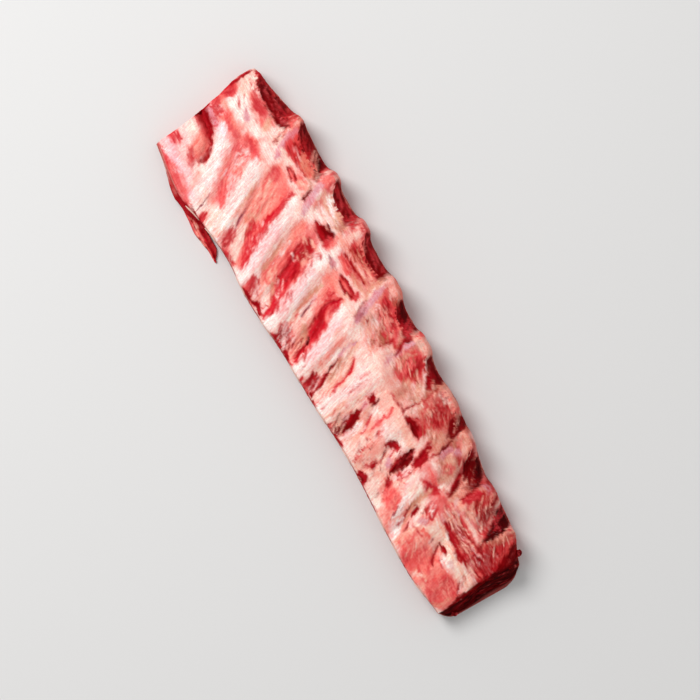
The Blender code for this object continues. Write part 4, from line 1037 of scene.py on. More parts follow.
# The deep hollows between the rib heads of the narrow half: dark red meat under painted shade,
# darkest of all.
lastStrokes = """
# Thin dark lines of lean meat and sinew that run through the fat.
peach 20*9*0.4 100 30 9 128 26 12 grain=-58 relief=0.3
deepRed 26*9*0.42 134 28 9 186 22 10 grain=-24
dark 14*8*0.4 140 30 8 188 20 10 grain=-50
peach 18*8*0.4 136 26 9 184 20 10 grain=-30 relief=0.3
deepRed 26*13*0.42 132 5 6 187 4 7 grain=3
dark 16*8*0.4 165 8 6 187 6 8 grain=10
peach 14*12*0.38 134 6 6 187 4 7 grain=5 relief=0.3
deepRed 20*6*0.4 58 36 8 96 32 10 grain=-30 spread=18
tanDark 26*8*0.45 50 28 12 96 26 14 grain=-35 spread=18
peach 22*7*0.42 46 32 10 96 32 12 grain=-32 relief=0.3
tanDark 26*8*0.45 -10 30 10 46 32 12 grain=-25 spread=16
deepRed 14*7*0.4 -12 32 8 46 33 10 grain=-12
peach 14*8*0.4 -12 32 8 46 33 10 grain=-20 relief=0.3
red 50*6*0.3 -20 -20 16 128 -20 16 grain=-70
deepRed 26*6*0.32 40 -20 16 128 -20 16 grain=-60
deepRed 40*8*0.42 -194 42 3 -158 44 5 grain=-12
red 30*6*0.32 -196 26 10 -150 24 10 grain=-14
deepRed 24*8*0.42 -31 -33 4 -19 -36 5 grain=-52
pinkFat 12*7*0.4 -31 -33 4 -19 -36 5 grain=-52
deepRed 20*9*0.45 5 -31 3 13 -35 4 grain=-66
dark 22*9*0.5 41 -31 3 48 -35 4 grain=-58
peach 10*8*0.4 41 -31 3 48 -35 4 grain=-58
red 18*7*0.42 -72 -33 3 -64 -38 4 grain=-40
red 22*8*0.42 -111 -30 3 -104 -37 4 grain=-55
brightRed 26*7*0.42 -104 -18 4 -86 -34 3 grain=-50
brightRed 26*6*0.42 -62 -14 4 -48 -34 3 grain=-48
# The deep hollows between the rib heads of the narrow half, which stay darkest of all.
dark 37 46.5 1.2 44 45 2.6 52 43.5 2.4 ragged=2.2 relief=-0.5
deepRed 41 43 1.2 47 39.5 1.8 53 35.5 0.8 ragged=1.8
deepRed 56.8 40 0.4 57.9 29 0.6 58.2 20 0.4 58.7 11 0.3 soft=0.6 ragged=0.6 relief=-0.4
deepRed 65 34 1.6 72 32 3.2 79 30.5 2.2 ragged=3.4 cover=0.6
deepRed 71 38.5 0.8 79 38 1.8 ragged=2.4 cover=0.7
dark 83.5 46.3 1 87 43 2.1 88.5 39.5 1.2 ragged=1.4 relief=-0.5
dark 79 40.5 0.8 84 36.5 1.5 90 31.5 0.9 ragged=1.8 relief=-0.4
dark 93.4 31 0.3 94.9 22.4 0.6 95.3 13.6 0.4 soft=0.6 ragged=0.6 relief=-0.4
deepRed 88.4 16 0.8 91 9 1.7 94.5 1 2.4 ragged=2.2 relief=-0.5
dark 85.8 3.6 0.7 88.6 -4 2.4 91.2 -15.3 0.9 ragged=1.6 relief=-0.5
dark 107.5 38.5 0.9 112 33.4 1.8 121.5 25.5 0.6 ragged=2 relief=-0.5
dark 112.1 39.88 0.9 116.6 33.4 1.8 125.18 26.42 0.6 ragged=2 relief=-0.5
dark 117.7 41.56 0.9 122.2 33.4 1.8 129.66 27.54 0.6 ragged=2 relief=-0.5
black 114 41 1 120 38.5 1.8 126 35 1.8 130 30.5 0.7 ragged=1.8 relief=-0.5
deepRed 116 24.5 0.7 119.4 18.6 1 122 13.6 0.5 ragged=1.2
dark 120.4 21 0.6 123 15.5 1.4 125.2 11 0.6
deepRed 130.4 30.5 0.5 130.8 23 0.7 131.8 15.8 0.4 soft=0.7
red 134 29 2 134.5 23 2.6 134.2 18 1.6 ragged=1.2
deepRed 141.6 39.7 0.4 145 35 0.9 148.6 30.8 0.4
deepRed 142 24.6 1 150 25.5 1.6 157 22.6 1 ragged=3 cover=0.7
black 150 39.8 1 156 34.5 2.6 160.5 31 4 163.6 24 2.8 166.2 16.9 1.2 168.9 11 0.4 ragged=2
 relief=-0.6
red 14*7*0.4 150 37 2 163 27 4 grain=-56
deepRed 167 13.6 0.4 170.4 6.9 0.5 171.8 -4 0.4 soft=0.6 ragged=0.6 relief=-0.4
deepRed 173 15 2 180 11 4.4 186 6 3 ragged=3 cover=0.7
dark 176 35.8 0.6 182.6 25.5 1.1 188 17 1 ragged=1.6
dark 180 34 0.9 186 28 1.8 190 22 1.6 ragged=1.6
black 189.5 29 1.2 189.5 12 1.4 188.6 2 0.8 ragged=1.4
deepRed 141 -0.5 0.6 150 -2.4 1.2 160 -3.4 1.4 167 -5 0.9 173 -3.4 0.4 ragged=1.6 relief=-0.4
red 8*6*0.36 86 2 1.6 91 -13 1.6 grain=-70
# The crimson of the wide end: its rim, the pocket's lower lip and the edge of the belly.
dark -191 38.5 1 -182 38 2.4 -172 38.5 4 -162 39 4.2 -155.5 38.5 1.6 ragged=2.6 relief=-0.4
red 22*7*0.4 -190 41 2 -158 41 4 grain=-14
red -183 29.5 1 -177 28 2.6 -171 29.6 1.2 soft=2 ragged=2.4
tan -164 30 1.6 -160.6 25.6 2.2 soft=2 cover=0.85
red -199.5 21 1 -197 17.5 2.8 -197 12.5 1 soft=1.4 ragged=2
deepRed -201 37 0.7 -200.6 28 0.9 -199.4 20 0.8 soft=0.7
red -197 7 1.4 -193 3 1.8 -186 5.5 1 ragged=2.4 cover=0.8
deepRed -195.6 -1 0.8 -194.6 -4 1.2 ragged=1.6
deepRed -194 -8.2 3.6 -187 -7.8 2.6 -180 -8.4 1.5 -174 -11 0.8 -168 -15.5 0.5 -164.6 -21 0.4
 soft=1.8 ragged=1.6
red -194 -12.6 1 -185 -11.8 1.2 -177 -12.4 1 soft=3.4 ragged=2.4 cover=0.75
pinkFat -190 -25 3 -182 -29 4 -173 -33 4 soft=4 ragged=3 cover=0.75
red 30*5*0.4 -176 -28 3 -164 -30 4 grain=-30 spread=30
red -190 -31 1.2 -185.5 -31.5 2.4 soft=1.6 ragged=2.6
softRed -170 -46 2.6 -156 -47.6 3 -142 -48.6 2 soft=2.4 ragged=2.4 cover=0.85
red -157 12 2 -152.6 9 2.2 -154 2 1.6 soft=2 ragged=3 cover=0.8
pinkFat 20*4*0.4 -156 8 3 -148 -4 4 grain=60 spread=40
softRed 34*5*0.36 -150 8 2 -132 -26 3 grain=-36
deepRed -144 -49.4 0.8 -136 -48.4 1.6 -124 -47.2 1.4 -112 -45.6 0.8 soft=1 ragged=1.4
# Lean meat frays into the fat of the next rib.
red 54*5*0.36 -110 14 2 -100 -10 2.6 -89 -30 2.4 grain=-34 spread=14
red 60*5*0.36 -66 16 2 -58 -4 2.6 -48 -30 2.4 grain=-28 spread=16
brightRed 54*5*0.36 -29 8 2 -18 -12 2.6 -10 -30 2 grain=-34 spread=14
pinkFat 18*4*0.34 -64 10 2 -54 -12 2 grain=-28
tan 101 24 1 106 22 4 112 18 4 114 10 2 soft=3 cover=0.7
softRed 106.6 18 0.5 109.6 21.4 0.8 112.8 18 0.6 109.8 14.8 0.7 106.8 17.2 0.4 soft=0.9 ragged=1.2
tanDark 16*5*0.4 100 20 4 114 12 4 grain=-20 spread=30
brightRed 84.6 -2 0.4 87.4 -10 0.8 90 -16 0.5 soft=0.7"""


def layStrokes(sheet, rows, brush):
    for row in rows.replace("\n ", " ").strip().splitlines():
        words = row.split()
        if words[0] == "#":
            continue
        look = {key: float(value) for key, value in (w.split("=") for w in words if "=" in w)}
        points = [float(w) for w in words[1:] if "=" not in w and "*" not in w]
        if "*" in words[1]:
            count, length, half = words[1].split("*")
            strands(sheet, words[0], points, int(count), float(length), float(half), **look)
        else:
            brush(sheet, words[0], points, **look)


# Over the details: the chine edge and the narrow half are darker and redder, partly their own
# redder meat and partly painted shade where the rack falls away from the light.
boneSideGlazes = """
0.92,0.62 -158 50 4 -60 52 5 60 50 5 130 42 4
0.9,0.5 -194 42 2 -178 43 4 -160 44 4 soft=2
0.98,0.9,0.98 -196 0 6 -182 -2 6 -166 4 5 -152 6 5
0.98,0.82,0.92 -190 -34 6 -172 -40 7 -152 -44 5
0.98,0.9,0.98 -156 -2 4 -146 -18 5 -136 -28 4
1,0.84,0.9 -98 0 3 -88 -20 4 -82 -32 3 cover=0.8
1,0.84,0.9 -56 2 3 -50 -14 4 -45 -28 3 cover=0.8
1,0.84,0.9 -18 2 3 -10 -16 5 -5 -26 3 cover=0.8
0.95,0.62 -150 42 4 -136 38 7 -118 37 5
0.92,0.62 -66 36 4 -50 34 7 -36 33 6
0.95,0.78 -30 46 4 -10 44 4
0.84,0.68 -14 20 5 10 22 7 34 18 6 60 18 7 92 18 8
0.86,0.72 40 36 7 70 33 9 112 33 9
0.86,0.7 108 22 8 126 20 8
0.72,0.45 136 30 9 160 27 11 184 20 9
0.85,0.66 148 6 6 186 6 7
0.7,0.5 187 24 3 188 10 2 188 -6 1 soft=3
0.95,0.8 44 -30 5 56 -30 6
0.95,0.78 140 -31 7 163 -30 9 186 -26 8
0.99,0.92,0.84 112 -8 5 134 -14 6 160 -10 5 186 -9 5"""


def mottle(top):
    # Fine pink veins in all the fat, after the strokes.
    u, v = top["u"], top["v"]
    patch = np.clip(layered(u / 7, v / 5, 611) + 0.25, 0, 1)
    along, across = alongAcross(u, v, pork["ribAngle"])
    among = np.clip((v - 12) / 10, 0, 1)
    fine = (1 - among) * noise(along / 4.5, across / 0.9, 612) + among * noise(u / 5, v / 0.9, 613)
    vein = np.clip(0.45 * patch + 0.55 * fine * patch + 0.25 * fine, -0.35, 0.8)[:, None]
    top["colour"] *= 1 - np.array(fat["veins"]) * vein
    top["relief"] += fat["veinRelief"] * fine


def wavyLine(places, height, half, *waves):
    # A seam along a side that rises and falls in waves of a size and a span.
    return [(x, sum((size * sin(x / span) for size, span in waves), height), half)
            for x in places]


def paintBellySide(side):
    # The sawn cut: membrane and fat on top, meat between the bones, a seam and fat below.
    allAlong = range(-192, 196, 12)
    finely = range(-192, 196, 5)
    for x in np.arange(-186, 190, 9):
        high = bellyHeight(x)
        paint(side, "softRed", [(x, high * 0.45, 4)], soft=3, ragged=2, grain=80, cover=0.9)
    paint(side, "creamFat", [(x, bellyHeight(x) * 0.9, 1.6) for x in allAlong], soft=1,
          ragged=1.2)
    paint(side, "peach", [(x, bellyHeight(x) * 0.78, 1) for x in allAlong], soft=1.6,
          ragged=1.5, cover=0.7)
    for i, line in enumerate(rack["ribLines"]):
        x, z = boneEnd(line)
        paint(side, "creamFat", [(x - 2.4, z, 6.4), (x + 2.4, z, 6.4)], relief=-0.35)
        if i + 1 < len(rack["ribLines"]):
            nextX = boneEnd(rack["ribLines"][i + 1])[0]
            middle = (x + nextX) / 2
            width = (nextX - x) / 2 - 9
            paint(side, "red", [(middle - width + 3, z - 1, 3), (middle + width - 3, z - 1, 3)],
                  soft=1.6, ragged=2, grain=75, relief=-0.2)
            strands(side, "deepRed", [(middle - width, z, 3), (middle + width, z, 3)], 16, 5,
                    0.45, grain=80)
            strands(side, "peach", [(middle - width, z, 4), (middle + width, z, 4)], 14, 5,
                    0.4, grain=75)
    seam = wavyLine(finely, 6.4, 0.6, (1.2, 17), (0.7, 7.3))
    paint(side, "creamFat", seam, soft=0.6, ragged=0.8, relief=0.15)
    paint(side, "pinkFat", wavyLine(finely, 0.9, 1.2, (0.6, 13)), soft=0.9)
    strands(side, "deepRed", [(-186, 4, 2), (190, 4, 2)], 90, 7, 0.4, grain=0)
    strands(side, "pinkFat", [(-186, 5, 4), (190, 5, 4)], 90, 6, 0.4, grain=4)
    paint(side, "red", [(-160, 4, 3), (-146, 3.4, 3), (-134, 3, 2.4)], soft=1.4, ragged=1.4)


def paintChineSide(side):
    # Lean meat between the knobs of the rib heads, dark red and darker still with painted shade, a
    # seam of fat, and loin below it.
    strands(side, "deepRed", [(-196, 16, 9), (188, 14, 9)], 150, 12, 0.8, grain=4)
    strands(side, "dark", [(-196, 17, 8), (188, 15, 8)], 110, 11, 0.8, grain=2)
    strands(side, "coral", [(-196, 15, 9), (188, 14, 9)], 70, 8, 0.4, grain=3)
    for x, half, out in rack["knobs"]:
        if not out:
            continue
        high = topHeight(x, chineEdge(x) - 4)
        wide = min(half, 8.5) * 0.62
        paint(side, "softRed", [(x, high, wide), (x, high * 0.6, wide * 0.9),
                                (x + 3, 9, wide * 0.5)], soft=4, ragged=4, cover=0.8)
        paint(side, "peach", [(x, high, wide), (x, high * 0.7, wide * 0.7),
                              (x + 2, 10, wide * 0.2)], soft=2, ragged=3.4)
        paint(side, "creamFat", [(x, high, wide * 0.7), (x, high * 0.66, wide * 0.4)], soft=2.2,
              ragged=3)
        strands(side, "softRed", [(x, high, wide), (x, 8, wide)], 16, 6, 0.45)
        strands(side, "whiteFat", [(x, high, wide), (x, 9, wide)], 12, 6, 0.45)
    finely = range(-198, 194, 5)
    paint(side, "softRed", [(x, 4.6, 4) for x in range(-198, 194, 20)], soft=1.4, ragged=2)
    strands(side, "red", [(-196, 5, 3.6), (188, 5, 3.6)], 110, 9, 0.6, grain=3)
    strands(side, "peach", [(-196, 5, 3.6), (188, 5, 3.6)], 80, 7, 0.4, grain=3)
    paint(side, "peach", wavyLine(finely, 9.5, 0.9, (1.5, 21), (0.8, 8)), ragged=3, cover=0.75)
    paint(side, "pinkFat", wavyLine(finely, 0.9, 1.3, (0.6, 15)), soft=1, ragged=1.2)


# The cut end with layers of fat and lean meat, seen on (y, z).
wideFaceStrokes = """
softRed 90*9*0.8 -42 11 8 40 14 10 grain=4
pinkFat 70*8*0.5 -42 11 8 40 14 10 grain=4
creamFat -44 18 1.6 -20 19 2 2 20 2 24 25 3 38 26 3 soft=1.6 ragged=1.6
red 12 22 2 20 23.6 2.2 ragged=1.6
deepRed -10.5 12 0.6 -8.6 14 2.2 -7 17 2 soft=0.8
creamFat -44 9 0.7 -20 10 0.9 10 11.6 0.9 40 13 0.8 soft=0.8 ragged=1.2
pinkFat -44 1 1.2 0 1.2 1.4 40 1 1.2 soft=1
red 26 6 3 36 7 3 soft=2 ragged=2"""


# The cut face at the narrow end, seen on (y, z): dark red meat under painted shade, as the face
# turns away from the light.
narrowFaceStrokes = """
dark 110*11*0.7 -32 9 8 28 12 11 grain=2 relief=-0.15
deepRed 46*9*0.45 -32 9 8 28 12 11 grain=2 relief=0.15
black 60*9*0.8 -32 9 8 28 12 11 grain=2 relief=-0.3
softRed 10*7*0.3 -28 10 8 26 12 10 grain=2 relief=0.2"""


def paintUnderside(under):
    # The meat side: loin and lean meat with its fibres along the rack, silverskin and fat.
    strands(under, "softRed", [(-180, 8, 30), (180, 4, 30)], 200, 26, 1.8, grain=2)
    strands(under, "red", [(-180, 10, 30), (180, 6, 30)], 160, 24, 1.6, grain=3)
    for x, y, half in ((-150, -30, 9), (-112, -28, 8), (-70, -26, 9), (-24, -24, 8),
                       (20, -26, 9), (64, -22, 8), (110, -26, 9), (158, -24, 8)):
        paint(under, "creamFat", [(x - 14, y - 4, half), (x + 12, y + 3, half)], soft=5,
              ragged=4, grain=3, relief=-0.1)
    for x, y, half in ((-168, 24, 8), (-96, 30, 7), (-30, 26, 9), (38, 28, 7), (104, 22, 8),
                       (160, 14, 7)):
        paint(under, "lilac", [(x - 18, y, half), (x + 18, y + 3, half)], soft=5, ragged=4,
              grain=2, cover=0.75)
    strands(under, "pinkFat", [(-180, 6, 34), (180, 2, 34)], 160, 18, 0.9, grain=4)
    paint(under, "creamFat", [(-190, -42, 3), (-60, -40, 3), (60, -36, 3), (184, -34, 3)],
          soft=3, ragged=3)
    paint(under, "creamFat", [(-190, 36, 3), (-60, 44, 3), (60, 41, 2), (180, 28, 2)],
          soft=3, ragged=3)


def bellyHeight(x):
    return float(topHeight(np.array(x, float), bellyEdge(x) + rack["bellySide"][0][0]))


def smoothStep(value):
    value = np.clip(value, 0, 1)
    return value * value * (3 - 2 * value)


# The rib bones: half the width and height of a section at each share of the way to the head.
bone = {
    "halfWidth": ((0.0, 6.6), (0.3, 6.2), (0.6, 5.4), (0.8, 5.0), (1.0, 6.4)),
    "halfHeight": ((0.0, 4.0), (0.3, 4.0), (0.7, 4.6), (1.0, 5.4)),
    "cover": ((0.0, 3.1), (0.15, 1.7), (1.0, 1.7)),
    "proud": 0.2, "covered": 8.0, "firstHeadY": 34.0, "leanReach": 2.0,
    "levelFromBelly": 3.0, "levelToChine": 5.0, "slideReach": 10.0,
    "sides": 32, "sections": 40, "faceLoops": (0.93, 0.84, 0.74, 0.62, 0.48, 0.32, 0.16),
    "marrowFrom": 0.8, "marrowSunk": 0.25, "marrowEdge": 0.12, "stained": 0.8,
    "bumps": 0.035, "bumpTurn": 2.2, "bumpLong": 6,
    # The belly side rounds in above this share of its height, by so much at the top.
    "edgeFrom": 0.82, "edgeInset": 1.9,
}


def boneSpan(line):
    belly = rack["bellyGuess"]
    chine = rack["chineGuess"]
    for _ in range(rack["edgeRounds"]):
        belly = bellyEdge(lineX(line, belly))
        chine = chineEdge(lineX(line, chine))
    if line is rack["ribLines"][0]:
        return belly - bone["proud"], bone["firstHeadY"]
    return belly - bone["proud"], chine - bone["covered"]


def boneCentre(line, y, share):
    start, stop = boneSpan(line)
    level = np.clip(y, start + bone["levelFromBelly"], stop - bone["levelToChine"])
    return (topHeight(lineX(line, level), level) - curve(bone["cover"], share)
            - curve(bone["halfHeight"], share))


def boneEnd(line, share=0.0):
    # Where a bone's sawn end shows, as (x, z).
    y = boneSpan(line)[0 if share == 0 else 1]
    return float(lineX(line, y)), float(boneCentre(line, y, share))


def boneLoops(line):
    start, stop = boneSpan(line)
    angle = 2 * pi * (np.arange(bone["sides"]) + 0.5) / bone["sides"]
    loops, marrow = [], []

    def section(share, shrink):
        y = start + (stop - start) * share
        back = bone["leanReach"]
        lean = float(lineX(line, y + back) - lineX(line, y - back)) / (2 * back)
        wide = curve(bone["halfWidth"], share) * (1 + lean * lean) ** 0.5
        high = curve(bone["halfHeight"], share)
        bumps = 1 + bone["bumps"] * noise(angle * bone["bumpTurn"] + 50,
                                          angle * 0 + y / bone["bumpLong"], 77)
        x = lineX(line, y) + wide * np.cos(angle) * shrink * bumps
        z = boneCentre(line, y, share) + high * np.sin(angle) * shrink * bumps
        # The sawn end follows the rounded upper edge of the belly side.
        rounded = np.interp(z / topHeight(x, bellyEdge(x) + rack["bellySide"][0][0]),
                            (bone["edgeFrom"], 1.0), (0.0, bone["edgeInset"]))
        slide = (bellyEdge(x) + rounded - bone["proud"] - start) * np.clip(
            1 - (y - start) / bone["slideReach"], 0, 1)
        if line is not rack["ribLines"][0]:
            slide += (chineEdge(x) - bone["covered"] - stop) * np.clip(
                1 - (stop - y) / bone["slideReach"], 0, 1)
        sunk = bone["marrowSunk"] * smoothStep((bone["marrowFrom"] - shrink) / bone["marrowEdge"])
        sunk *= 1 if share == 0 else -1
        loops.append(np.stack([x + lean * slide, y + slide + sunk * (shrink < 1), z], 1))
        stained = bone["stained"] if 0 < share < 1 else 0.0
        marrow.append(np.full(bone["sides"], 1.0 if shrink < bone["marrowFrom"] else stained))

    for shrink in bone["faceLoops"][::-1]:
        section(0.0, shrink)
    for share in np.linspace(0, 1, bone["sections"]):
        section(share, 1.0)
    for shrink in bone["faceLoops"]:
        section(1.0, shrink)
    return np.array(loops), np.array(marrow)


def wrapSphere(name, loops, tips):
    # A sphere with as many rings and segments as the loops have is added, and each of its
    # vertices is moved to its place on them. Returns the vertices' ring and segment too.
    count, sides = loops.shape[:2]
    bpy.ops.object.select_all(action="DESELECT")
    bpy.ops.mesh.primitive_uv_sphere_add(segments=sides, ring_count=count + 1, radius=1,
                                         calc_uvs=False)
    piece = bpy.context.object
    piece.name = name
    piece.data.name = name
    ball = np.empty(len(piece.data.vertices) * 3, np.float32)
    piece.data.vertices.foreach_get("co", ball)
    ball = ball.reshape(-1, 3).astype(float)
    down = np.arctan2(np.hypot(ball[:, 0], ball[:, 1]), ball[:, 2])
    ring = np.rint(down / pi * (count + 1)).astype(int)
    side = np.rint(np.arctan2(ball[:, 1], ball[:, 0]) / (2 * pi) * sides).astype(int) % sides
    places = withTips(loops, tips[0], tips[1])
    piece.data.vertices.foreach_set("co", (places[ring, side] * mm).ravel())
    bpy.ops.object.mode_set(mode="EDIT")
    bpy.ops.mesh.select_all(action="SELECT")
    bpy.ops.mesh.normals_make_consistent(inside=False)
    bpy.ops.object.mode_set(mode="OBJECT")
    bpy.ops.object.shade_smooth()
    return piece, ring, side


def withTips(values, first, last):
    sides = values.shape[1]
    first = np.broadcast_to(first, (1, sides) + values.shape[2:])
    last = np.broadcast_to(last, (1, sides) + values.shape[2:])
    return np.concatenate([first, values, last])


def storeValues(piece, name, values):
    # One value or colour for each vertex, under a name that the materials read.
    values = np.asarray(values)
    if values.ndim == 1:
        layer = piece.data.attributes.new(name, "FLOAT", "POINT")
        layer.data.foreach_set("value", values.astype(np.float32))
    else:
        layer = piece.data.attributes.new(name, "FLOAT_COLOR", "POINT")
        opaque = np.column_stack([np.clip(values, 0, 1), np.ones(len(values))])
        layer.data.foreach_set("color", opaque.astype(np.float32).ravel())


def storeGrid(piece, ring, side, grid, layers):
    # Values for each point of the loops, with the means of the end loops at the tips.
    for name, values in layers.items():
        values = values.reshape(grid + values.shape[1:])
        values = withTips(values, values[0].mean(0), values[-1].mean(0))
        storeValues(piece, name, values[ring, side])


def addNode(tree, kind, links=None, **settings):
    # A node with its settings, and each input linked to a socket or set to a value.
    node = tree.nodes.new(kind)
    for key, value in settings.items():
        setattr(node, key, value)
    for socket, source in (links or {}).items():
        if isinstance(source, bpy.types.NodeSocket):
            tree.links.new(source, node.inputs[socket])
        else:
            node.inputs[socket].default_value = source
    return node


def setInputs(shader, values):
    for socket, value in values.items():
        shader.inputs[socket].default_value = value


def newMaterial(name):
    material = bpy.data.materials.new(name)
    material.use_nodes = True
    tree = material.node_tree
    return material, tree, tree.nodes["Principled BSDF"]


# Raw pork, cut and chilled: fat, membrane and lean meat, which are moist and let light in.
pork = {
    "grain": 1.1,              # mm, the fine grain of fat and cut meat
    "fibreLong": 9.0,          # mm, a bundle of muscle fibres along its length
    "fibreWide": 0.8,          # mm across it; real fibres are finer, drawn so that they show
    "ribAngle": -72.0,         # degrees, the way of the ribs and of the fibres between them
    "bumpDepth": 0.35,         # mm
    "lightDepth": 1.8,         # mm that light goes into the meat
    "roughness": 0.38,         # where no stroke is laid
}


def porkMaterial():
    material, tree, shader = newMaterial("rawMoistPork")
    tissue = addNode(tree, "ShaderNodeAttribute", attribute_name="tissue")
    rough = addNode(tree, "ShaderNodeAttribute", attribute_name="rough")
    among = addNode(tree, "ShaderNodeAttribute", attribute_name="among")
    place = addNode(tree, "ShaderNodeTexCoord")
    grain = addNode(tree, "ShaderNodeTexNoise", {
        "Vector": place.outputs["Object"], "Scale": 1 / (pork["grain"] * mm), "Detail": 3.0,
        "Roughness": 0.6})
    long, wide = 1 / (pork["fibreLong"] * mm), 1 / (pork["fibreWide"] * mm)
    bundles = []
    for turn in (pork["ribAngle"], 0.0):
        turned = addNode(tree, "ShaderNodeMapping", {
            "Vector": place.outputs["Object"], "Rotation": (0, 0, radians(-turn))})
        stretched = addNode(tree, "ShaderNodeVectorMath", {
            0: turned.outputs["Vector"], 1: (long, wide, wide)}, operation="MULTIPLY")
        bundles.append(addNode(tree, "ShaderNodeTexNoise", {
            "Vector": stretched.outputs["Vector"], "Scale": 1.0, "Detail": 2.5}))
    fibre = addNode(tree, "ShaderNodeMix", {
        0: among.outputs["Fac"], 2: bundles[0].outputs["Fac"], 3: bundles[1].outputs["Fac"]})
    both = addNode(tree, "ShaderNodeMath", {
        0: grain.outputs["Fac"], 1: fibre.outputs[0]}, operation="ADD")
    dim = addNode(tree, "ShaderNodeMapRange", {
        "Value": both.outputs[0], "From Min": 0.7, "From Max": 1.3, "To Min": 0.93,
        "To Max": 1.06})
    redden = addNode(tree, "ShaderNodeMapRange", {
        "Value": both.outputs[0], "From Min": 0.75, "From Max": 1.25, "To Min": 0.7,
        "To Max": 1.22})
    tint = addNode(tree, "ShaderNodeCombineXYZ", {
        "X": dim.outputs[0], "Y": redden.outputs[0], "Z": redden.outputs[0]})
    tinted = addNode(tree, "ShaderNodeVectorMath", {
        0: tissue.outputs["Color"], 1: tint.outputs[0]}, operation="MULTIPLY")
    tree.links.new(tinted.outputs["Vector"], shader.inputs["Base Color"])
    gloss = addNode(tree, "ShaderNodeMapRange", {
        "Value": grain.outputs["Fac"], "From Min": 0.3, "From Max": 0.7, "To Min": -0.07,
        "To Max": 0.09})
    dulled = addNode(tree, "ShaderNodeMath", {
        0: rough.outputs["Fac"], 1: gloss.outputs[0]}, operation="ADD")
    tree.links.new(dulled.outputs[0], shader.inputs["Roughness"])
    bump = addNode(tree, "ShaderNodeBump", {
        "Height": both.outputs[0], "Strength": 0.5, "Distance": pork["bumpDepth"] * mm})
    tree.links.new(bump.outputs["Normal"], shader.inputs["Normal"])
    # A thin wet film gives the shine, so the meat itself has none.
    setInputs(shader, {
        "IOR": 1.4, "Specular IOR Level": 0.0, "Coat Weight": 0.025, "Coat Roughness": 0.12,
        "Coat IOR": 1.7, "Subsurface Weight": 0.08, "Subsurface Radius": (1.0, 0.36, 0.24),
        "Subsurface Scale": pork["lightDepth"] * mm})
    return material


# Fresh bone, sawn through: a pale dense ring round red spongy marrow with small holes.
sawnBone = {"ring": "EBC9BA", "skin": "DDA392", "marrow": "8E1E1E", "marrowPale": "C8655A",
            "holes": 0.9, "holeDepth": 0.3, "ringGrain": 2.5, "lightDepth": 1.0}


def boneMaterial():
    material, tree, shader = newMaterial("sawnRibBone")
    marrow = addNode(tree, "ShaderNodeAttribute", attribute_name="marrow")
    place = addNode(tree, "ShaderNodeTexCoord")
    holes = addNode(tree, "ShaderNodeTexVoronoi", {
        "Vector": place.outputs["Object"], "Scale": 1 / (sawnBone["holes"] * mm)})
    cloud = addNode(tree, "ShaderNodeTexNoise", {
        "Vector": place.outputs["Object"], "Scale": 1 / (sawnBone["ringGrain"] * mm)})
    wall = addNode(tree, "ShaderNodeMapRange", {
        "Value": holes.outputs["Distance"], "From Min": 0.25, "From Max": 0.6})
    inner = addNode(tree, "ShaderNodeMix", {
        0: wall.outputs[0], 6: (*toLinear(sawnBone["marrow"]), 1),
        7: (*toLinear(sawnBone["marrowPale"]), 1)}, data_type="RGBA")
    outer = addNode(tree, "ShaderNodeMix", {
        0: cloud.outputs["Fac"], 6: (*toLinear(sawnBone["ring"]), 1),
        7: (*toLinear(sawnBone["skin"]), 1)}, data_type="RGBA")
    whole = addNode(tree, "ShaderNodeMix", {
        0: marrow.outputs["Fac"], 6: outer.outputs[2], 7: inner.outputs[2]}, data_type="RGBA")
    tree.links.new(whole.outputs[2], shader.inputs["Base Color"])
    bump = addNode(tree, "ShaderNodeBump", {
        "Height": holes.outputs["Distance"], "Strength": 0.6,
        "Distance": sawnBone["holeDepth"] * mm})
    tree.links.new(bump.outputs["Normal"], shader.inputs["Normal"])
    setInputs(shader, {
        "Roughness": 0.45, "IOR": 1.5, "Subsurface Weight": 0.1,
        "Subsurface Radius": (1.0, 0.5, 0.35), "Subsurface Scale": sawnBone["lightDepth"] * mm})
    return material


# How the colours of the bone side and the sides fray: degrees and millimetres.
fibres = {"angle": -32.0, "sideAngle": 80.0, "long": 9.0, "wide": 1.3, "pull": 1.2}


def dressed(piece, material, slot, *nodes):
    piece.data.materials.clear()
    piece.data.materials.append(material)
    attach(piece, "root")
    if nodes:
        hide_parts(*nodes)
    return piece


def normalsOf(loops):
    along = np.gradient(loops, axis=0)
    round_ = np.roll(loops, -1, 1) - np.roll(loops, 1, 1)
    normal = np.cross(along, round_)
    normal /= np.maximum(np.linalg.norm(normal, axis=2), 1e-9)[..., None]
    middle = normal[len(loops) // 2, skinGrid["top"] // 2]
    return normal if middle[2] > 0 else -normal


def insideBox(loops):
    low, high = np.array(cadBox[0]) / mm, np.array(cadBox[1]) / mm
    return np.clip(loops, low + (0.02, 0.02, 0), high - 0.02)


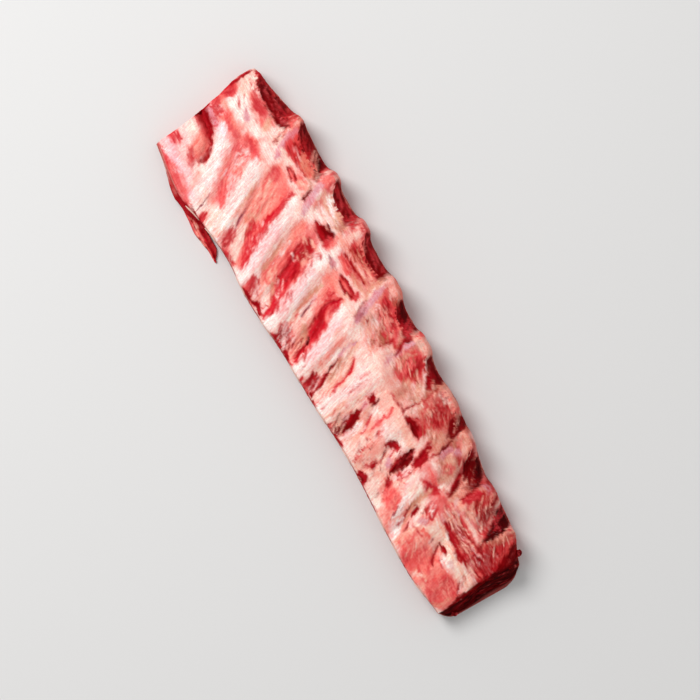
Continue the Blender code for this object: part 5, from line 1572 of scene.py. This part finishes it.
def fray(colour, u, v, angle):
    # Pulls the colours of a part of the skin along its fibres by noise, so that edges fray.
    # The pull, in millimetres, is read back as steps along the rows and columns of the grid.
    c, s = cos(radians(angle)), sin(radians(angle))
    along, across = alongAcross(u, v, angle)
    wide = fibres["wide"]
    pull = (fibres["pull"] * noise(along / fibres["long"], across / wide, 701)
            + 0.5 * fibres["pull"] * noise(along / 3, across / (0.8 * wide), 702))
    rows, columns = np.indices(u.shape)
    inner = np.minimum(np.minimum(rows, u.shape[0] - 1 - rows),
                       np.minimum(columns, u.shape[1] - 1 - columns))
    pull = pull * smoothStep(inner / 8)
    (ui, uj), (vi, vj) = np.gradient(u), np.gradient(v)
    size = ui * vj - uj * vi
    size = np.where(np.abs(size) < 0.05, 0.05, size)
    i = rows + np.clip(pull * (c * vj - s * uj) / size, -5, 5)
    j = columns + np.clip(pull * (s * ui - c * vi) / size, -5, 5)
    i, j = np.clip(i, 0, u.shape[0] - 1.01), np.clip(j, 0, u.shape[1] - 1.01)
    i0, j0 = i.astype(int), j.astype(int)
    a, b = (i - i0)[..., None], (j - j0)[..., None]
    colour[:] = ((1 - a) * ((1 - b) * colour[i0, j0] + b * colour[i0, j0 + 1])
                 + a * ((1 - b) * colour[i0 + 1, j0] + b * colour[i0 + 1, j0 + 1]))


# The parts of the skin: the ground under their strokes, and how much the sides, which the light
# from above hardly reaches, are darkened at the end as painted shade. The near-black ground of the
# narrow end is dark red meat under painted shade as well.
grounds = {"top": fat["pale"], "under": "C9605A", "chine": "8E2A28", "belly": "D98078",
           "wide": "E08A80", "narrow": "3A0608"}
darkened = {"narrow": (0.55, 0.4, 0.4), "chine": (0.85, 0.62, 0.62),
            "belly": (0.66, 0.46, 0.46), "wide": (0.7, 0.5, 0.5)}
# How the parts run into each other. The colours of the bone side start at a share of a side's
# height and are full so much higher, or end so deep in mm below the upper edge of an end. The
# underside's come up the sides by "low" mm.
blends = {"chine": (0.34, 0.24), "belly": (0.82, 0.12), "wide": (1.3, 3.4),
          "narrow": (1.2, 1.6), "low": 1.4, "lowShare": 0.6, "amongFrom": 6, "amongSpan": 12}
reliefLimits = (-2.6, 1.0)     # mm


def buildSkin(material):
    rings, gone = skinRings()
    top = skinGrid["top"]
    chineTo = top + skinGrid["chine"]
    bottomTo = chineTo + skinGrid["bottom"]
    reach = skinGrid["endRoundReach"]
    round_ = np.exp(-(gone / reach) ** 2) + np.exp(-((gone[-1] - gone) / reach) ** 2)
    rings[:, :top, 2] -= (skinGrid["endRound"] * round_)[:, None]
    wideCap, wideTip = capRings(rings[0], wideFace)
    narrowCap, narrowTip = capRings(rings[-1], narrowFace)
    loops = np.concatenate([wideCap[::-1], rings, narrowCap])
    caps = skinGrid["capLoops"]
    count, sides = loops.shape[:2]
    gone = np.concatenate([np.full(caps, gone[0]), gone, np.full(caps, gone[-1])])
    x, y, z = loops[..., 0].ravel(), loops[..., 1].ravel(), loops[..., 2].ravel()
    i, j = np.divmod(np.arange(count * sides), sides)
    isWide, isNarrow = i < caps, i >= count - caps
    middle = ~isWide & ~isNarrow
    edge = np.where(j < bottomTo, loops[i, top - 1, 2], loops[i, 0, 2])
    up = z / np.maximum(edge, 1)
    depth = topHeight(x, y) - z
    zones = {
        "chine": middle & (j >= top) & (j < chineTo),
        "under": middle & (j >= chineTo) & (j < bottomTo),
        "belly": middle & (j >= bottomTo),
        "wide": isWide,
        "narrow": isNarrow,
    }
    share = {"top": np.where(middle & (j < top), 1.0, 0.0)}
    for name in ("chine", "belly"):
        start, span = blends[name]
        share["top"] += zones[name] * smoothStep((up - start) / span)
    for name in ("wide", "narrow"):
        start, span = blends[name]
        share["top"] += zones[name] * smoothStep(start - depth / span)
    for name, zone in zones.items():
        share[name] = zone * (1 - share["top"])
    low = smoothStep(1 - z / blends["low"]) * (
        zones["chine"] | zones["belly"] | isWide | isNarrow)
    share["under"] = share["under"] + low * blends["lowShare"]
    plan = {"top": (x, y), "under": (x, y), "chine": (x, z), "belly": (x, z), "wide": (y, z),
            "narrow": (y, z)}
    sheets = {}
    for name, (u, v) in plan.items():
        sheets[name] = newSheet(u, v, share[name], np.flatnonzero(share[name] > 0),
                                grounds[name])
    ribAlong = np.repeat(gone, sides)
    groundBoneSide(sheets["top"], ribAlong[sheets["top"]["where"]])
    layStrokes(sheets["top"], washes, wash)
    layStrokes(sheets["top"], boneSideStrokes, paint)
    layStrokes(sheets["top"], boneSideGlazes, glaze)
    mottle(sheets["top"])
    layStrokes(sheets["top"], lastStrokes, paint)
    paintBellySide(sheets["belly"])
    paintChineSide(sheets["chine"])
    layStrokes(sheets["wide"], wideFaceStrokes, paint)
    layStrokes(sheets["narrow"], narrowFaceStrokes, paint)
    for name, factors in darkened.items():
        sheets[name]["colour"] *= factors
    face = sheets["narrow"]
    face["relief"] += 0.8 * layered(face["u"] / 7, face["v"] / 6, 771)
    # The belly side behind the ragged strip, painted deep red: the meat's own colour, partly
    # painted shade under the strip.
    paint(sheets["belly"], "deepRed", [(-146, 12, 7), (-134, 10, 9), (-118, 10, 8)], ragged=3)
    paintUnderside(sheets["under"])
    print("strokes laid:", strokesLaid[0])

    total = np.zeros(count * sides)
    colour = np.zeros((count * sides, 3))
    rough = np.zeros(count * sides)
    relief = np.zeros(count * sides)
    for sheet in sheets.values():
        where = sheet["where"]
        total[where] += sheet["share"]
        colour[where] += sheet["colour"] * sheet["share"][:, None]
        rough[where] += sheet["rough"] * sheet["share"]
        relief[where] += sheet["relief"] * sheet["share"]
    colour /= total[:, None]
    rows = slice(caps, count - caps)
    grid = colour.reshape(count, sides, 3)
    fray(grid[rows, :top], loops[rows, :top, 0], loops[rows, :top, 1], fibres["angle"])
    for part in (slice(top - 6, chineTo), slice(bottomTo, sides)):
        fray(grid[rows, part], loops[rows, part, 0], loops[rows, part, 2], fibres["sideAngle"])
    rough /= total
    relief /= total
    relief = np.clip(relief, *reliefLimits).reshape(count, sides)
    loops = insideBox(loops + normalsOf(loops) * relief[..., None])
    piece, ring, side = wrapSphere("meatSkin", loops, (wideTip, narrowTip))
    among = smoothStep((y - blends["amongFrom"]) / blends["amongSpan"]) * (i > caps)
    storeGrid(piece, ring, side, (count, sides),
              {"tissue": colour, "rough": rough, "among": among})
    return dressed(piece, material, "raw_meat", "meat_slab")


# The ragged strip along the belly edge at the wide end, and two small scraps of meat.
flap = {
    "path": ((-143, -50.0, 3.0, 6.0), (-133, -50.8, 2.6, 6.0), (-123, -51.4, 3.0, 5.5),
             (-114, -50.9, 2.2, 5.0), (-105, -50.4, 1.6, 3.6), (-97, -51.0, 0.6, 1.8)),
    "lift": 0.3, "tuck": 3.2, "tuckFade": 9, "sides": 28, "step": 0.5, "ragged": 0.45,
    "section": ((-1, 0.06), (-0.6, 0), (0.6, 0), (1, 0.1), (0.9, 0.7), (0.4, 1), (-0.5, 0.95),
                (-0.95, 0.55)),
}
scraps = {"places": ((184.8, 32.7, 11.0, 2.9), (199.6, -27.0, 3.4, 2.8)),
          "rings": 22, "segments": 26, "size": 0.9, "dents": 0.1}


def paintedPiece(name, loops, tips, base, painter, material):
    # A small piece of meat with its own painted colours, read on (x, y).
    count, sides = loops.shape[:2]
    x, y = loops[..., 0].ravel(), loops[..., 1].ravel()
    sheet = newSheet(x, y, np.ones(len(x)), np.arange(len(x)), base)
    painter(sheet)
    relief = np.clip(sheet["relief"], -0.6, 0.3).reshape(count, sides)
    middle = loops.mean(1, keepdims=True)
    out = loops - middle
    out /= np.maximum(np.linalg.norm(out, axis=2), 1e-9)[..., None]
    piece, ring, side = wrapSphere(name, insideBox(loops + out * relief[..., None]), tips)
    storeGrid(piece, ring, side, (count, sides),
              {"tissue": sheet["colour"], "rough": sheet["rough"], "among": np.ones(len(x))})
    return dressed(piece, material, "raw_meat", "meat_slab")


stripStrokes = """
brightRed 50*8*0.5 -142 -51 3 -98 -51 2 grain=0
deepRed 60*7*0.5 -130 -50 3 -98 -51 2 grain=2
peach 40*6*0.45 -142 -52 3 -104 -52.4 2 grain=-2
softRed -143 -52.4 1.4 -132 -53 1.2 -122 -54 1.4 soft=1
deepRed -112 -49.6 0.8 -104 -49.8 1 -99 -50.6 0.6 soft=0.8
coral -124 -51.4 0.8 -112 -51.8 0.6 -100 -51.6 0.4 soft=0.7"""


def paintStrip(sheet):
    layStrokes(sheet, stripStrokes, paint)


def buildFlap(material):
    path = np.array(flap["path"])
    x = np.arange(path[0, 0], path[-1, 0], flap["step"])
    y, half, high = (curve(tuple(zip(path[:, 0], path[:, k])), x) for k in (1, 2, 3))
    outline = np.array(flap["section"] + flap["section"][:1])
    outline = evenly(outline, flap["sides"] + 1)[:-1]
    outline = (np.roll(outline, 1, 0) + 2 * outline + np.roll(outline, -1, 0)) / 4
    turn = np.arange(flap["sides"]) * 0.45
    torn = 1 - flap["ragged"] * 0.5 * (1 + noise(
        x[:, None] / 2.2 + turn * 0, turn[None] + x[:, None] * 0, 311))
    torn = np.where(outline[None, :, 1] < 0.12, 1, torn)
    tornWide = np.where(outline[None, :, 0] > 0, 1, torn)
    inward = flap["tuck"] * np.clip(outline[None, :, 0], 0, 1) * smoothStep(
        (x[-1] - x)[:, None] / flap["tuckFade"])
    loops = np.stack([
        np.repeat(x[:, None], flap["sides"], 1),
        y[:, None] + half[:, None] * outline[:, 0] * tornWide + inward,
        flap["lift"] + high[:, None] * outline[:, 1] * torn], 2)
    tips = (loops[0].mean(0), loops[-1].mean(0) + (0.6, 0, 0))
    return paintedPiece("raggedStrip", loops, tips, "C8373A", paintStrip, material)


def paintScrap(sheet):
    u, v = sheet["u"].mean(), sheet["v"].mean()
    strands(sheet, "dark", [(u - 2, v, 3), (u + 2, v, 3)], 14, 3, 0.5, grain=30)
    strands(sheet, "red", [(u - 2, v, 3), (u + 2, v, 3)], 8, 3, 0.4, grain=30)


def buildScrap(i, place, material):
    # A small ball of meat, dented by noise.
    centre, radius = np.array(place[:3]), place[3]
    down = (np.arange(1, scraps["rings"]) / scraps["rings"] * pi)[:, None]
    turn = (np.arange(scraps["segments"]) / scraps["segments"] * 2 * pi)[None]
    ball = np.stack([np.sin(down) * np.cos(turn), np.sin(down) * np.sin(turn),
                     np.cos(down) + 0 * turn], 2)
    size = radius * (scraps["size"] + scraps["dents"] * noise(
        ball[..., 0] * 1.8 + 9 * i, ball[..., 1] * 1.8 + ball[..., 2] * 1.4, 90 + i))
    loops = centre + ball * size[..., None]
    top = (0, 0, radius * scraps["size"])
    tips = (centre + top, centre - top)
    return paintedPiece(f"meatScrap{i + 1}", loops, tips, "5A0A0E", paintScrap, material)


def buildBones(material):
    for i, line in enumerate(rack["ribLines"]):
        loops, marrow = boneLoops(line)
        tips = (loops[0].mean(0), loops[-1].mean(0))
        piece, ring, side = wrapSphere(f"ribBone{i + 1:02d}", loops, tips)
        storeValues(piece, "marrow", withTips(marrow, 1.0, 1.0)[ring, side])
        dressed(piece, material, "rib_bone", f"rib_bone_{i + 1:02d}")


# The camera looks straight down, and the rack lies across the picture as in the photo.
look = {"centre": (2.73, 0.54, 15.0), "turn": 60.38, "across": 490.0, "distance": 2800.0,
        "sensor": 36.0}
light = {"toward": (-0.97, -0.25), "elevation": 50.0, "distance": 2.2, "size": 1.1,
         "power": 34.5, "sky": 0.53}
worktop = {"size": 6, "below": 0.1, "colour": "DDDCDB", "roughness": 0.7}


def placeCamera():
    bpy.ops.object.camera_add(location=(look["centre"][0] * mm, look["centre"][1] * mm,
                                        (look["centre"][2] + look["distance"]) * mm),
                              rotation=(0, 0, radians(look["turn"])))
    camera = bpy.context.object
    camera.data.sensor_width = look["sensor"]
    camera.data.lens = look["sensor"] * look["distance"] / look["across"]
    camera.data.clip_end = 20
    bpy.context.scene.camera = camera


def placeLight():
    across, around = np.hypot(*light["toward"]), radians(light["elevation"])
    way = np.array([light["toward"][0] / across * cos(around),
                    light["toward"][1] / across * cos(around), sin(around)])
    bpy.ops.object.light_add(type="AREA", location=way * light["distance"])
    lamp = bpy.context.object
    lamp.name = "softWindow"
    lamp.data.shape = "DISK"
    lamp.data.size = light["size"]
    lamp.data.energy = light["power"]
    lamp.rotation_euler = (pi / 2 - around, 0, np.arctan2(way[1], way[0]) + pi / 2)
    world = bpy.data.worlds.new("paleRoom")
    world.use_nodes = True
    world.node_tree.nodes["Background"].inputs["Color"].default_value = (1, 1, 1, 1)
    world.node_tree.nodes["Background"].inputs["Strength"].default_value = light["sky"]
    bpy.context.scene.world = world
    bpy.context.scene.view_settings.view_transform = "Standard"


def placeFloor():
    # A pale matt worktop, just under the rack so that the two faces don't share one plane.
    bpy.ops.mesh.primitive_plane_add(size=worktop["size"], location=(0, 0, -worktop["below"] * mm))
    floor = bpy.context.object
    floor.name = "paleFloor"
    material, _, shader = newMaterial("paleMattFloor")
    setInputs(shader, {"Base Color": (*toLinear(worktop["colour"]), 1),
                       "Roughness": worktop["roughness"]})
    floor.data.materials.append(material)


placeCamera()
placeLight()
placeFloor()
print("camera, light and floor placed")
meat = porkMaterial()
buildSkin(meat)
print("meat skin built")
buildFlap(meat)
for i, place in enumerate(scraps["places"]):
    buildScrap(i, place, meat)
print("strip and scraps built")
buildBones(boneMaterial())
print("bones built")
